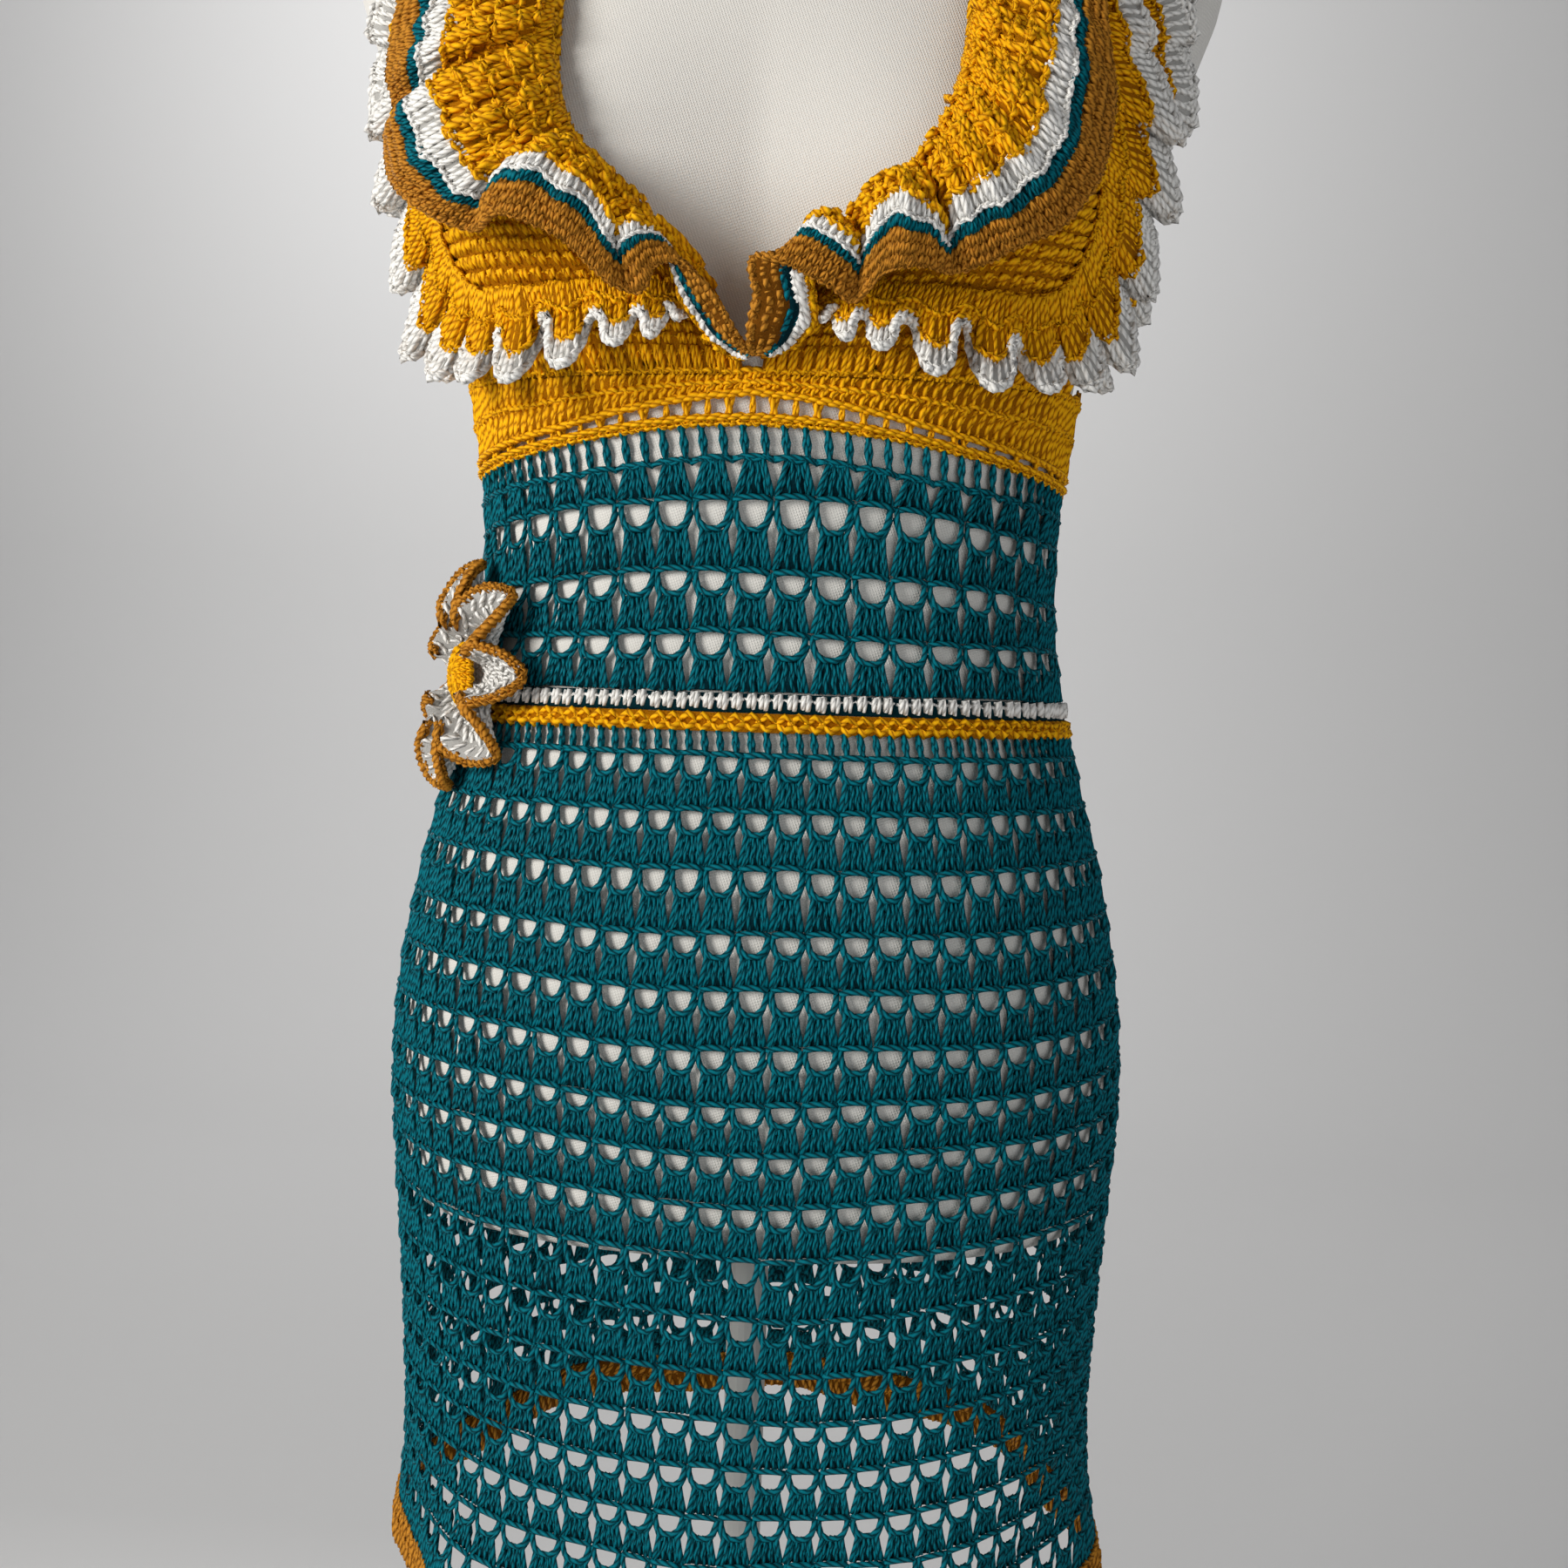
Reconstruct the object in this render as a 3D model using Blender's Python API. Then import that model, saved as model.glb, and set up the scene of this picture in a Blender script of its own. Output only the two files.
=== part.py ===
"""Crochet halter dress worn by a limbless dress form on its stand.

Metres, +Z up. The front faces -Y, and the wearer's left is +X. The origin is the centre of
the stand's underside. A place on the form is an angle round its upright axis, in degrees, 0 at
the front and positive towards +X, with a height above the floor.
"""

import math
from collections import namedtuple

import bpy
import bmesh
from mathutils import Vector

# Heights of the seams above the floor
HEM_Z = 0.638
HEM_DIP = 0.034
HEM_TRIM = 0.020
WAIST_GOLD_Z = 0.9890
WAIST_WHITE_Z = 0.9965
WAIST_TOP_Z = 1.0040
BUST_SEAM_Z = 1.1045
BUST_SEAM_DIP = 0.014
BAND_TOP_Z = 1.1245
FORM_BOTTOM_Z = 0.785
NECK_TOP_Z = 1.525

# Cloth and the clearances between pieces
CLOTH = 0.0026
GAP = 0.0003
BODY_CLEAR = 0.0008
CUP_CLEAR = 0.0018
SEAM_ROOM = 0.0016

# Round sampling: one body panel has this many sides
SIDES = 40
SIDE_DEG = 360.0 / SIDES

# The form, and the dress below it, as level sections
Section = namedtuple("Section", "z half_width front back")
SECTIONS = (
    Section(0.600, 0.1530, 0.108, 0.121),
    Section(0.640, 0.1500, 0.105, 0.119),
    Section(0.665, 0.1480, 0.103, 0.116),
    Section(0.700, 0.1480, 0.102, 0.115),
    Section(0.740, 0.1500, 0.102, 0.115),
    Section(0.785, 0.1530, 0.104, 0.117),
    Section(0.835, 0.1560, 0.107, 0.121),
    Section(0.880, 0.1535, 0.107, 0.119),
    Section(0.930, 0.1445, 0.103, 0.110),
    Section(0.980, 0.1315, 0.097, 0.098),
    Section(1.020, 0.1230, 0.092, 0.088),
    Section(1.050, 0.1205, 0.090, 0.084),
    Section(1.080, 0.1210, 0.092, 0.085),
    Section(1.110, 0.1240, 0.095, 0.089),
    Section(1.140, 0.1285, 0.099, 0.095),
    Section(1.170, 0.1340, 0.102, 0.101),
    Section(1.200, 0.1410, 0.104, 0.107),
    Section(1.230, 0.1500, 0.102, 0.111),
    Section(1.260, 0.1640, 0.098, 0.113),
    Section(1.300, 0.1780, 0.090, 0.112),
    Section(1.340, 0.1840, 0.079, 0.108),
    Section(1.375, 0.1830, 0.067, 0.101),
    Section(1.400, 0.1720, 0.060, 0.093),
    Section(1.420, 0.1400, 0.056, 0.085),
    Section(1.437, 0.1020, 0.053, 0.078),
    Section(1.452, 0.0740, 0.050, 0.071),
    Section(1.470, 0.0610, 0.048, 0.066),
    Section(1.500, 0.0570, 0.047, 0.063),
    Section(1.525, 0.0570, 0.047, 0.063),
)
FULLNESS = 2.2  # exponent of the rounded section; 2 is an ellipse

# Bust of the form
BUST_DEG = 39.0
BUST_Z = 1.187
BUST_OUT = 0.028
BUST_SPREAD_DEG = 17.0
BUST_RISE = 0.040
BUST_FALL = 0.028

# Hem flutes
HEM_WAVES = 8
HEM_WAVE_OUT = 0.0050
HEM_WAVE_START_Z = 0.705

# Heights where the form's sections are cut; the dress's seams are among them
SKIRT_ROWS = (0.680, 0.705, 0.745, 0.785, 0.820, 0.855, 0.895, 0.930, 0.960)
WAIST_ROWS = (1.028, 1.052, 1.078)
UPPER_ROWS = (
    1.120, 1.137, 1.155, 1.171, 1.187, 1.205, 1.225, 1.250, 1.280, 1.315,
    1.350, 1.380, 1.400, 1.420, 1.437, 1.446, 1.455, 1.464, 1.475, 1.495,
)
FORM_RIM = 0.006  # rounding of the form's lower rim

# Eyelet row of the bust band, over a solid lower edge
EYELETS = 18
EYELET_PITCH_DEG = 4.85
EYELET_WIDTH_DEG = 3.7
EYELET_HEIGHT = 0.0095
EYELET_END_HEIGHT = 0.0045
BAND_EDGE = 0.0030
BAND_END_DEG = 87.0
BAND_SIDE_STEPS = 5

# Back neckline: it leaves the seam under the bust at the sides and dips at the back
SCOOP_START_DEG = 88.0
SCOOP_DEPTH = 0.040
SIDE_RISE = 0.030
SIDE_RISE_DEG = 22.0
TRIM_WIDTH = 0.017

# Cup: its neckline edge and its arm edge, from the bottom up
CupRow = namedtuple("CupRow", "neck_deg neck_z arm_deg arm_z")
CUP_ROWS = (
    CupRow(2.0, 1.1290, 72.0, 1.1330),
    CupRow(5.5, 1.1440, 70.5, 1.1560),
    CupRow(11.0, 1.1620, 68.0, 1.1760),
    CupRow(18.5, 1.1750, 65.5, 1.1950),
    CupRow(24.5, 1.1890, 63.5, 1.2140),
    CupRow(29.5, 1.2050, 61.0, 1.2330),
    CupRow(34.0, 1.2270, 59.0, 1.2530),
    CupRow(38.0, 1.2560, 57.0, 1.2780),
    CupRow(41.5, 1.2900, 56.0, 1.3060),
    CupRow(46.0, 1.3380, 56.5, 1.3420),
)
CUP_CROSS_STEPS = 9
CUP_FINE_ROWS = 16
CUP_BAND_ROOM = 0.0019

# Neck strap: its inner and outer edge, from the cup's top to the back of the neck
StrapRow = namedtuple("StrapRow", "inner_deg inner_z outer_deg outer_z")
STRAP_ROWS = (
    StrapRow(46.2, 1.3385, 56.8, 1.3430),
    StrapRow(48.5, 1.3690, 61.5, 1.3700),
    StrapRow(53.5, 1.4000, 69.0, 1.3960),
    StrapRow(63.0, 1.4240, 80.0, 1.4150),
    StrapRow(78.0, 1.4430, 96.0, 1.4270),
    StrapRow(104.0, 1.4570, 116.0, 1.4340),
    StrapRow(140.0, 1.4640, 144.0, 1.4380),
    StrapRow(180.0, 1.4660, 180.0, 1.4395),
)
STRAP_STEPS = 16
NAPE_CLEAR = 0.0024  # further clearance at the back of the neck

# Ruffles: s runs along the seam, from the centre front to the neck or the arm
RuffleRow = namedtuple("RuffleRow", "s seam_deg seam_z edge_deg edge_z lift wave")
COLLAR_ROWS_RIGHT = (
    RuffleRow(0.00, 2.2, 1.1300, 1.6, 1.1250, 0.014, 0.000),
    RuffleRow(0.08, 6.0, 1.1440, 9.5, 1.1420, 0.029, 0.001),
    RuffleRow(0.16, 11.5, 1.1620, 17.0, 1.1600, 0.029, 0.002),
    RuffleRow(0.24, 19.0, 1.1750, 22.0, 1.1560, 0.028, 0.003),
    RuffleRow(0.32, 25.0, 1.1890, 29.5, 1.1735, 0.025, 0.004),
    RuffleRow(0.40, 29.5, 1.2040, 39.5, 1.1780, 0.024, 0.004),
    RuffleRow(0.50, 33.5, 1.2240, 50.5, 1.1860, 0.024, 0.004),
    RuffleRow(0.60, 37.5, 1.2500, 58.0, 1.2150, 0.024, 0.004),
    RuffleRow(0.70, 41.0, 1.2820, 60.0, 1.2500, 0.023, 0.004),
    RuffleRow(0.80, 44.8, 1.3250, 61.0, 1.2950, 0.021, 0.003),
    RuffleRow(0.90, 51.5, 1.3850, 65.5, 1.3560, 0.018, 0.002),
    RuffleRow(1.00, 72.0, 1.4340, 84.0, 1.4040, 0.013, 0.001),
)
COLLAR_ROWS_LEFT = (
    RuffleRow(0.00, 2.2, 1.1300, 1.6, 1.1250, 0.014, 0.000),
    RuffleRow(0.08, 6.0, 1.1440, 3.5, 1.1500, 0.028, 0.001),
    RuffleRow(0.16, 11.5, 1.1620, 7.0, 1.1700, 0.031, 0.001),
    RuffleRow(0.24, 19.0, 1.1750, 18.5, 1.1560, 0.029, 0.003),
    RuffleRow(0.32, 25.0, 1.1890, 26.0, 1.1680, 0.026, 0.004),
    RuffleRow(0.40, 29.5, 1.2040, 35.0, 1.1680, 0.025, 0.004),
    RuffleRow(0.50, 33.5, 1.2240, 45.0, 1.1850, 0.024, 0.004),
    RuffleRow(0.60, 37.5, 1.2500, 50.5, 1.2140, 0.024, 0.004),
    RuffleRow(0.70, 41.0, 1.2820, 54.0, 1.2490, 0.023, 0.004),
    RuffleRow(0.80, 44.8, 1.3250, 57.5, 1.2950, 0.021, 0.003),
    RuffleRow(0.90, 51.5, 1.3850, 64.0, 1.3560, 0.018, 0.002),
    RuffleRow(1.00, 72.0, 1.4340, 84.0, 1.4040, 0.013, 0.001),
)
FRILL_ROWS = (
    RuffleRow(0.00, 12.5, 1.1500, 14.0, 1.1450, 0.009, 0.001),
    RuffleRow(0.07, 18.0, 1.1555, 18.5, 1.1420, 0.018, 0.003),
    RuffleRow(0.20, 30.0, 1.1570, 29.0, 1.1410, 0.023, 0.006),
    RuffleRow(0.33, 43.0, 1.1570, 43.0, 1.1370, 0.023, 0.006),
    RuffleRow(0.44, 52.0, 1.1600, 57.0, 1.1350, 0.022, 0.006),
    RuffleRow(0.55, 56.5, 1.1720, 68.0, 1.1520, 0.020, 0.005),
    RuffleRow(0.67, 58.0, 1.1930, 72.0, 1.1840, 0.019, 0.0045),
    RuffleRow(0.80, 56.5, 1.2200, 71.0, 1.2200, 0.019, 0.0045),
    RuffleRow(0.92, 54.0, 1.2480, 66.0, 1.2520, 0.016, 0.003),
    RuffleRow(1.00, 52.5, 1.2720, 60.0, 1.2820, 0.011, 0.001),
)
ARM_FRILL_ROWS = (
    RuffleRow(0.00, 71.2, 1.1520, 80.0, 1.1360, 0.010, 0.002),
    RuffleRow(0.25, 68.4, 1.1760, 84.0, 1.1680, 0.013, 0.004),
    RuffleRow(0.50, 64.9, 1.2050, 83.0, 1.2070, 0.014, 0.004),
    RuffleRow(0.75, 61.4, 1.2330, 79.0, 1.2450, 0.013, 0.003),
    RuffleRow(1.00, 59.0, 1.2580, 70.0, 1.2850, 0.010, 0.002),
)
Ruffle = namedtuple("Ruffle", "waves drop seam_lift width edge_share steps main_steps")
ON_CUP = CUP_CLEAR + 1.5 * CLOTH + GAP
BESIDE_CUP = CUP_CLEAR + 0.5 * CLOTH
COLLAR = Ruffle(7.5, 0.5, ON_CUP + SEAM_ROOM, 0.055, 0.60, 36, 2)
FRILL = Ruffle(12.5, 0.9, ON_CUP + 0.2 * SEAM_ROOM, 0.028, 0.70, 62, 2)
ARM_FRILL = Ruffle(6.5, 0.8, BESIDE_CUP, 0.034, 0.72, 32, 1)

# Flower sewn on the right side seam
FLOWER_DEG = -67.0
FLOWER_FACES_DEG = -60.0
FLOWER_Z = 1.008
FLOWER_R = 0.047
FLOWER_WAIST_R = 0.020
FLOWER_PETALS = 8
FLOWER_CENTRE_R = 0.012
FLOWER_CENTRE_T = 0.005
PETAL_RISE = 0.007
FLOWER_CLEAR = 0.0003
FLOWER_CENTRE_CLEAR = 0.0040

# Stand
POLE_R = 0.0090
BASE_R = 0.150
BASE_T = 0.014
BASE_FOOT_R = 0.143
SOCKET_R = 0.021
SOCKET_H = 0.050
COLLAR_NUT_R = 0.028
COLLAR_NUT_H = 0.024
NECK_CAP_T = 0.010

# Arm covers of the form
ARM_DEG = 90.0
ARM_Z = 1.323
ARM_HALF_DEG = 16.0
ARM_HALF_H = 0.074
ARM_T = 0.0040

# Colours as red, green and blue
JERSEY = (0.87, 0.85, 0.81)
TEAL = (0.010, 0.175, 0.195)
MUSTARD = (0.78, 0.41, 0.035)
CARAMEL = (0.43, 0.185, 0.033)
IVORY = (0.86, 0.83, 0.77)
STAND_GREY = (0.62, 0.62, 0.62)


def between(rows, column, key, at):
    """Reads a column of a table at a place between its rows, along a smooth curve."""
    keys = [getattr(row, key) for row in rows]
    values = [getattr(row, column) for row in rows]
    at = min(max(at, keys[0]), keys[-1])
    i = max(n for n in range(len(keys) - 1) if keys[n] <= at)
    span = keys[i + 1] - keys[i]
    u = (at - keys[i]) / span
    before, after = max(i - 1, 0), min(i + 2, len(keys) - 1)
    slope_0 = (values[i + 1] - values[before]) / (keys[i + 1] - keys[before])
    slope_1 = (values[after] - values[i]) / (keys[after] - keys[i])
    return (
        values[i] * (2 * u**3 - 3 * u**2 + 1)
        + values[i + 1] * (3 * u**2 - 2 * u**3)
        + slope_0 * span * (u**3 - 2 * u**2 + u)
        + slope_1 * span * (u**3 - u**2)
    )


def evenly(rows, column, share):
    """Reads a column where the rows stand evenly from 0 to 1."""
    values = [getattr(row, column) for row in rows]
    at = share * (len(values) - 1)
    i = min(int(at), len(values) - 2)
    u = at - i
    before, after = max(i - 1, 0), min(i + 2, len(values) - 1)
    slope_0 = (values[i + 1] - values[before]) / (i + 1 - before)
    slope_1 = (values[after] - values[i]) / (after - i)
    return (
        values[i] * (2 * u**3 - 3 * u**2 + 1)
        + values[i + 1] * (3 * u**2 - 2 * u**3)
        + slope_0 * (u**3 - 2 * u**2 + u)
        + slope_1 * (u**3 - u**2)
    )


def bust(deg, z):
    """How far the form's bust stands out at this place."""
    spread = math.exp(-0.5 * ((abs(deg) - BUST_DEG) / BUST_SPREAD_DEG) ** 2)
    reach = BUST_RISE if z > BUST_Z else BUST_FALL
    return BUST_OUT * spread * math.exp(-0.5 * ((z - BUST_Z) / reach) ** 2)


def hem_height(deg):
    """The hem hangs a little lower in front than behind."""
    return HEM_Z - HEM_DIP * (0.5 + 0.5 * math.cos(math.radians(deg)))


def bust_seam(deg):
    """Height of the seam under the bust, which drops towards the sides."""
    turn = min(abs((deg + 180.0) % 360.0 - 180.0), SCOOP_START_DEG)
    return BUST_SEAM_Z - BUST_SEAM_DIP * math.sin(math.radians(turn)) ** 2


def hem_wave(deg, z):
    """The skirt's flutes, which deepen towards the hem."""
    depth = max(0.0, (HEM_WAVE_START_Z - z) / (HEM_WAVE_START_Z - HEM_Z))
    return HEM_WAVE_OUT * depth**1.5 * math.cos(math.radians(HEM_WAVES * deg + 30.0))


def radius(deg, z):
    """Distance of the form, or of the hanging skirt below it, from the upright axis."""
    turn = (deg + 180.0) % 360.0 - 180.0
    side, ahead = math.sin(math.radians(turn)), math.cos(math.radians(turn))
    half = between(SECTIONS, "half_width", "z", z)
    depth = between(SECTIONS, "front" if ahead > 0 else "back", "z", z)
    power = abs(side / half) ** FULLNESS + abs(ahead / depth) ** FULLNESS
    return power ** (-1 / FULLNESS) + bust(turn, z) + hem_wave(turn, z)


def around(deg, z, out=0.0):
    """A point on the form moved out level by out."""
    reach = radius(deg, z) + out
    return Vector((reach * math.sin(math.radians(deg)), -reach * math.cos(math.radians(deg)), z))


def laid(deg, z, out=0.0):
    """A point on the form moved out square to its surface."""
    step_deg, step_z = 0.5, 0.001
    along = around(deg + step_deg, z) - around(deg - step_deg, z)
    up = around(deg, z + step_z) - around(deg, z - step_z)
    return around(deg, z) + along.cross(up).normalized() * out


def material(name, colour, roughness):
    """A plain matt or satin finish."""
    made = bpy.data.materials.new(name)
    made.use_nodes = True
    shader = made.node_tree.nodes["Principled BSDF"]
    shader.inputs["Base Color"].default_value = (*colour, 1.0)
    shader.inputs["Roughness"].default_value = roughness
    shader.inputs["Metallic"].default_value = 0.0
    return made


def keep(name, bm, finish, crease_deg=50.0):
    """Writes a bmesh to a named object with its normals out and smooth shading."""
    bmesh.ops.recalc_face_normals(bm, faces=bm.faces[:])
    mesh = bpy.data.meshes.new(name)
    bm.to_mesh(mesh)
    bm.free()
    mesh.shade_smooth()
    mesh.set_sharp_from_angle(angle=math.radians(crease_deg))
    made = bpy.data.objects.new(name, mesh)
    made.data.materials.append(finish)
    bpy.context.scene.collection.objects.link(made)
    return made


def wall(name, inner, outer, finish, closed_round=False, holes=()):
    """A cloth wall between two grids of points, given as lists of equal rows.

    holes names cells, by row and column, that are cut through.
    """
    bm = bmesh.new()
    inside, outside = [[[bm.verts.new(p) for p in row] for row in grid] for grid in (inner, outer)]
    rows, cols = len(inner), len(inner[0])
    spans = cols if closed_round else cols - 1

    def is_cloth(r, c):
        """Whether this cell is in the wall and not cut out."""
        if closed_round:
            c %= spans
        return 0 <= r < rows - 1 and 0 <= c < spans and (r, c) not in holes

    for r in range(rows - 1):
        for c in range(spans):
            if not is_cloth(r, c):
                continue
            n = (c + 1) % cols
            for side in (inside, outside):
                bm.faces.new((side[r][c], side[r][n], side[r + 1][n], side[r + 1][c]))
            borders = (
                (r - 1, c, (r, c), (r, n), False),
                (r + 1, c, (r + 1, n), (r + 1, c), True),
                (r, c - 1, (r + 1, c), (r, c), False),
                (r, c + 1, (r, n), (r + 1, n), True),
            )
            for next_r, next_c, (ra, ca), (rb, cb), far in borders:
                if is_cloth(next_r, next_c):
                    continue
                ring = [inside[ra][ca], inside[rb][cb], outside[rb][cb], outside[ra][ca]]
                if far:
                    ring = ring[-1:] + ring[:-1]  # neighbours' facing ends are then split alike
                bm.faces.new(ring)
    for vert in [v for v in bm.verts if not v.link_faces]:
        bm.verts.remove(vert)
    return keep(name, bm, finish)


def stack(name, rings, finish):
    """A closed solid through level rings of points, capped at both ends."""
    bm = bmesh.new()
    loops = [[bm.verts.new(p) for p in ring] for ring in rings]
    for low, high in zip(loops, loops[1:]):
        for c in range(len(low)):
            n = (c + 1) % len(low)
            bm.faces.new((low[c], low[n], high[n], high[c]))
    bm.faces.new(loops[0])
    bm.faces.new(loops[-1])
    return keep(name, bm, finish)


def turned(name, profile, finish, sides=32):
    """A closed solid turned about the upright axis from (radius, height) pairs."""
    rings = [
        [
            Vector((r * math.cos(2 * math.pi * i / sides), r * math.sin(2 * math.pi * i / sides), z))
            for i in range(sides)
        ]
        for r, z in profile
    ]
    return stack(name, rings, finish)


def build_form(jersey, grey):
    """The torso, its neck cap and its two arm covers."""
    heights = (
        *[z for z in SKIRT_ROWS if z > FORM_BOTTOM_Z + FORM_RIM],
        WAIST_GOLD_Z, WAIST_WHITE_Z, WAIST_TOP_Z, *WAIST_ROWS, BUST_SEAM_Z, *UPPER_ROWS, NECK_TOP_Z,
    )
    degs = [i * SIDE_DEG for i in range(SIDES)]
    rings = [
        [around(d, FORM_BOTTOM_Z, -FORM_RIM) for d in degs],
        [around(d, FORM_BOTTOM_Z + 0.4 * FORM_RIM, -0.3 * FORM_RIM) for d in degs],
    ]
    rings += [[around(d, z) for d in degs] for z in heights]
    stack("form_torso", rings, jersey)

    cap_z = NECK_TOP_Z + GAP
    shares = ((0.0, 0.96), (0.35, 1.0), (0.75, 0.96), (1.0, 0.80))
    cap = [
        [around(d, NECK_TOP_Z) * share for d in degs]
        for _, share in shares
    ]
    for ring, (up, _) in zip(cap, shares):
        for point in ring:
            point.z = cap_z + up * NECK_CAP_T
    stack("form_neck_cap", cap, grey)

    for side, name in ((1, "left"), (-1, "right")):
        build_arm_cover(f"form_arm_cover_{name}", side, jersey)


def build_arm_cover(name, side, finish):
    """An oval cover on the form's arm opening, laid on the torso's own surface."""
    rings, steps = (0.45, 0.8, 1.0), 20
    clear = CUP_CLEAR
    bm = bmesh.new()
    levels = []
    for out in (clear, clear + ARM_T):
        loops = []
        for share in rings:
            turns = [2 * math.pi * i / steps for i in range(steps)]
            loops.append([
                bm.verts.new(laid(
                    side * (ARM_DEG + ARM_HALF_DEG * share * math.cos(t)),
                    ARM_Z + ARM_HALF_H * share * math.sin(t), out,
                ))
                for t in turns
            ])
        centre = bm.verts.new(laid(side * ARM_DEG, ARM_Z, out))
        for i in range(steps):
            n = (i + 1) % steps
            bm.faces.new((centre, loops[0][i], loops[0][n]))
            for a, b in zip(loops, loops[1:]):
                bm.faces.new((a[i], a[n], b[n], b[i]))
        levels.append(loops[-1])
    low, high = levels
    for i in range(steps):
        n = (i + 1) % steps
        bm.faces.new((low[i], low[n], high[n], high[i]))
    keep(name, bm, finish)


def build_stand(grey):
    """Pole, the nut under the torso, the round base and the socket on it."""
    socket_top = BASE_T + SOCKET_H
    turned("stand_base", (
        (BASE_FOOT_R, 0.0), (BASE_R, 0.003), (BASE_R, BASE_T - 0.004), (BASE_R - 0.006, BASE_T),
    ), grey)
    turned("stand_socket", (
        (SOCKET_R + 0.006, BASE_T + GAP), (SOCKET_R + 0.006, BASE_T + 0.003),
        (SOCKET_R, BASE_T + 0.009), (SOCKET_R, socket_top - 0.003), (SOCKET_R - 0.003, socket_top),
    ), grey)
    nut_low = FORM_BOTTOM_Z - GAP - COLLAR_NUT_H
    turned("stand_pole", ((POLE_R, socket_top + GAP), (POLE_R, nut_low - GAP)), grey, 20)
    turned("stand_nut", (
        (COLLAR_NUT_R - 0.006, nut_low), (COLLAR_NUT_R, nut_low + 0.006),
        (COLLAR_NUT_R, FORM_BOTTOM_Z - GAP),
    ), grey, 20)


def back_edge(deg):
    """Height of the body's top edge: the bust seam in front, dipping across the open back."""
    turn = abs((deg + 180.0) % 360.0 - 180.0)
    if turn <= SCOOP_START_DEG:
        return bust_seam(deg)
    share = (turn - SCOOP_START_DEG) / (180.0 - SCOOP_START_DEG)
    return bust_seam(SCOOP_START_DEG) - SCOOP_DEPTH * math.sin(0.5 * math.pi * share) ** 2


def body_tube(name, low_of, high_of, rows, finish):
    """A closed tube of cloth round the body between two edge lines.

    low_of and high_of give an edge's height for each angle. rows are the heights between them
    at the centre front, which keep their share of the height all round.
    """
    degs = [i * SIDE_DEG for i in range(SIDES)]
    front_low, front_high = low_of(0.0), high_of(0.0)
    columns = []
    for deg in degs:
        low, high = low_of(deg), high_of(deg)
        scale = (high - low) / (front_high - front_low)
        columns.append([low, *[low + (z - front_low) * scale for z in rows], high])
    grids = [
        [[around(d, col[r], out) for d, col in zip(degs, columns)] for r in range(len(columns[0]))]
        for out in (BODY_CLEAR, BODY_CLEAR + CLOTH)
    ]
    return wall(name, *grids, finish, closed_round=True)


def build_body(teal, ivory, mustard, caramel):
    """The net body: upper part, two waist stripes, skirt and the hem's trim."""
    half = GAP / 2
    body_tube("body_net_upper", lambda d: WAIST_TOP_Z + half, lambda d: back_edge(d) - half,
              WAIST_ROWS, teal)
    body_tube("waist_stripe_white", lambda d: WAIST_WHITE_Z + half, lambda d: WAIST_TOP_Z - half,
              (), ivory)
    body_tube("waist_stripe_gold", lambda d: WAIST_GOLD_Z + half, lambda d: WAIST_WHITE_Z - half,
              (), mustard)
    body_tube("skirt_net", lambda d: hem_height(d) + HEM_TRIM + half, lambda d: WAIST_GOLD_Z - half,
              SKIRT_ROWS, teal)
    body_tube("hem_trim", hem_height, lambda d: hem_height(d) + HEM_TRIM - half, (), caramel)


def band_top(deg):
    """Height of the bust band's top edge, under the cups."""
    return BAND_TOP_Z + 0.006 * (abs(deg) / BAND_END_DEG) ** 2


def build_bust_band(mustard):
    """The dense band under the cups, with its row of eyelets; it ends at the side edges."""
    degs, gaps = [], []
    first = -0.5 * (EYELETS - 1) * EYELET_PITCH_DEG
    for i in range(EYELETS):
        centre = first + i * EYELET_PITCH_DEG
        gaps.append(len(degs))
        degs += [centre - EYELET_WIDTH_DEG / 2, centre + EYELET_WIDTH_DEG / 2]
    last = degs[-1]
    outer_step = (BAND_END_DEG - last) / BAND_SIDE_STEPS
    ends = [last + outer_step * (i + 1) for i in range(BAND_SIDE_STEPS)]
    degs = [-d for d in reversed(ends)] + degs + ends
    gaps = [g + BAND_SIDE_STEPS for g in gaps]

    columns = []
    for deg in degs:
        shrink = min(abs(deg) / last, 1.0)
        low = bust_seam(deg)
        edge = low + BAND_EDGE
        height = EYELET_HEIGHT + (EYELET_END_HEIGHT - EYELET_HEIGHT) * shrink
        columns.append((low + GAP / 2, edge, edge + height, band_top(deg)))
    grids = [
        [[around(d, col[r], out) for d, col in zip(degs, columns)] for r in range(4)]
        for out in (BODY_CLEAR, BODY_CLEAR + CLOTH)
    ]
    wall("bust_band", *grids, mustard, holes={(1, g) for g in gaps})


def build_back_trim(caramel):
    """The three-colour edging along the open back, standing on the body's top edge."""
    columns = 24
    start = SCOOP_START_DEG
    inner, outer = [[], []], [[], []]
    for c in range(columns + 1):
        deg = start + (360.0 - 2 * start) * c / columns
        turn = abs((deg + 180.0) % 360.0 - 180.0)
        fade = max(0.0, 1 - (turn - start) / SIDE_RISE_DEG)
        for r in range(2):
            z = back_edge(deg) + GAP / 2 + r * (TRIM_WIDTH + SIDE_RISE * fade**2)
            inner[r].append(around(deg, z, BODY_CLEAR))
            outer[r].append(around(deg, z, BODY_CLEAR + CLOTH))
    wall("back_trim", inner, outer, caramel)


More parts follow.
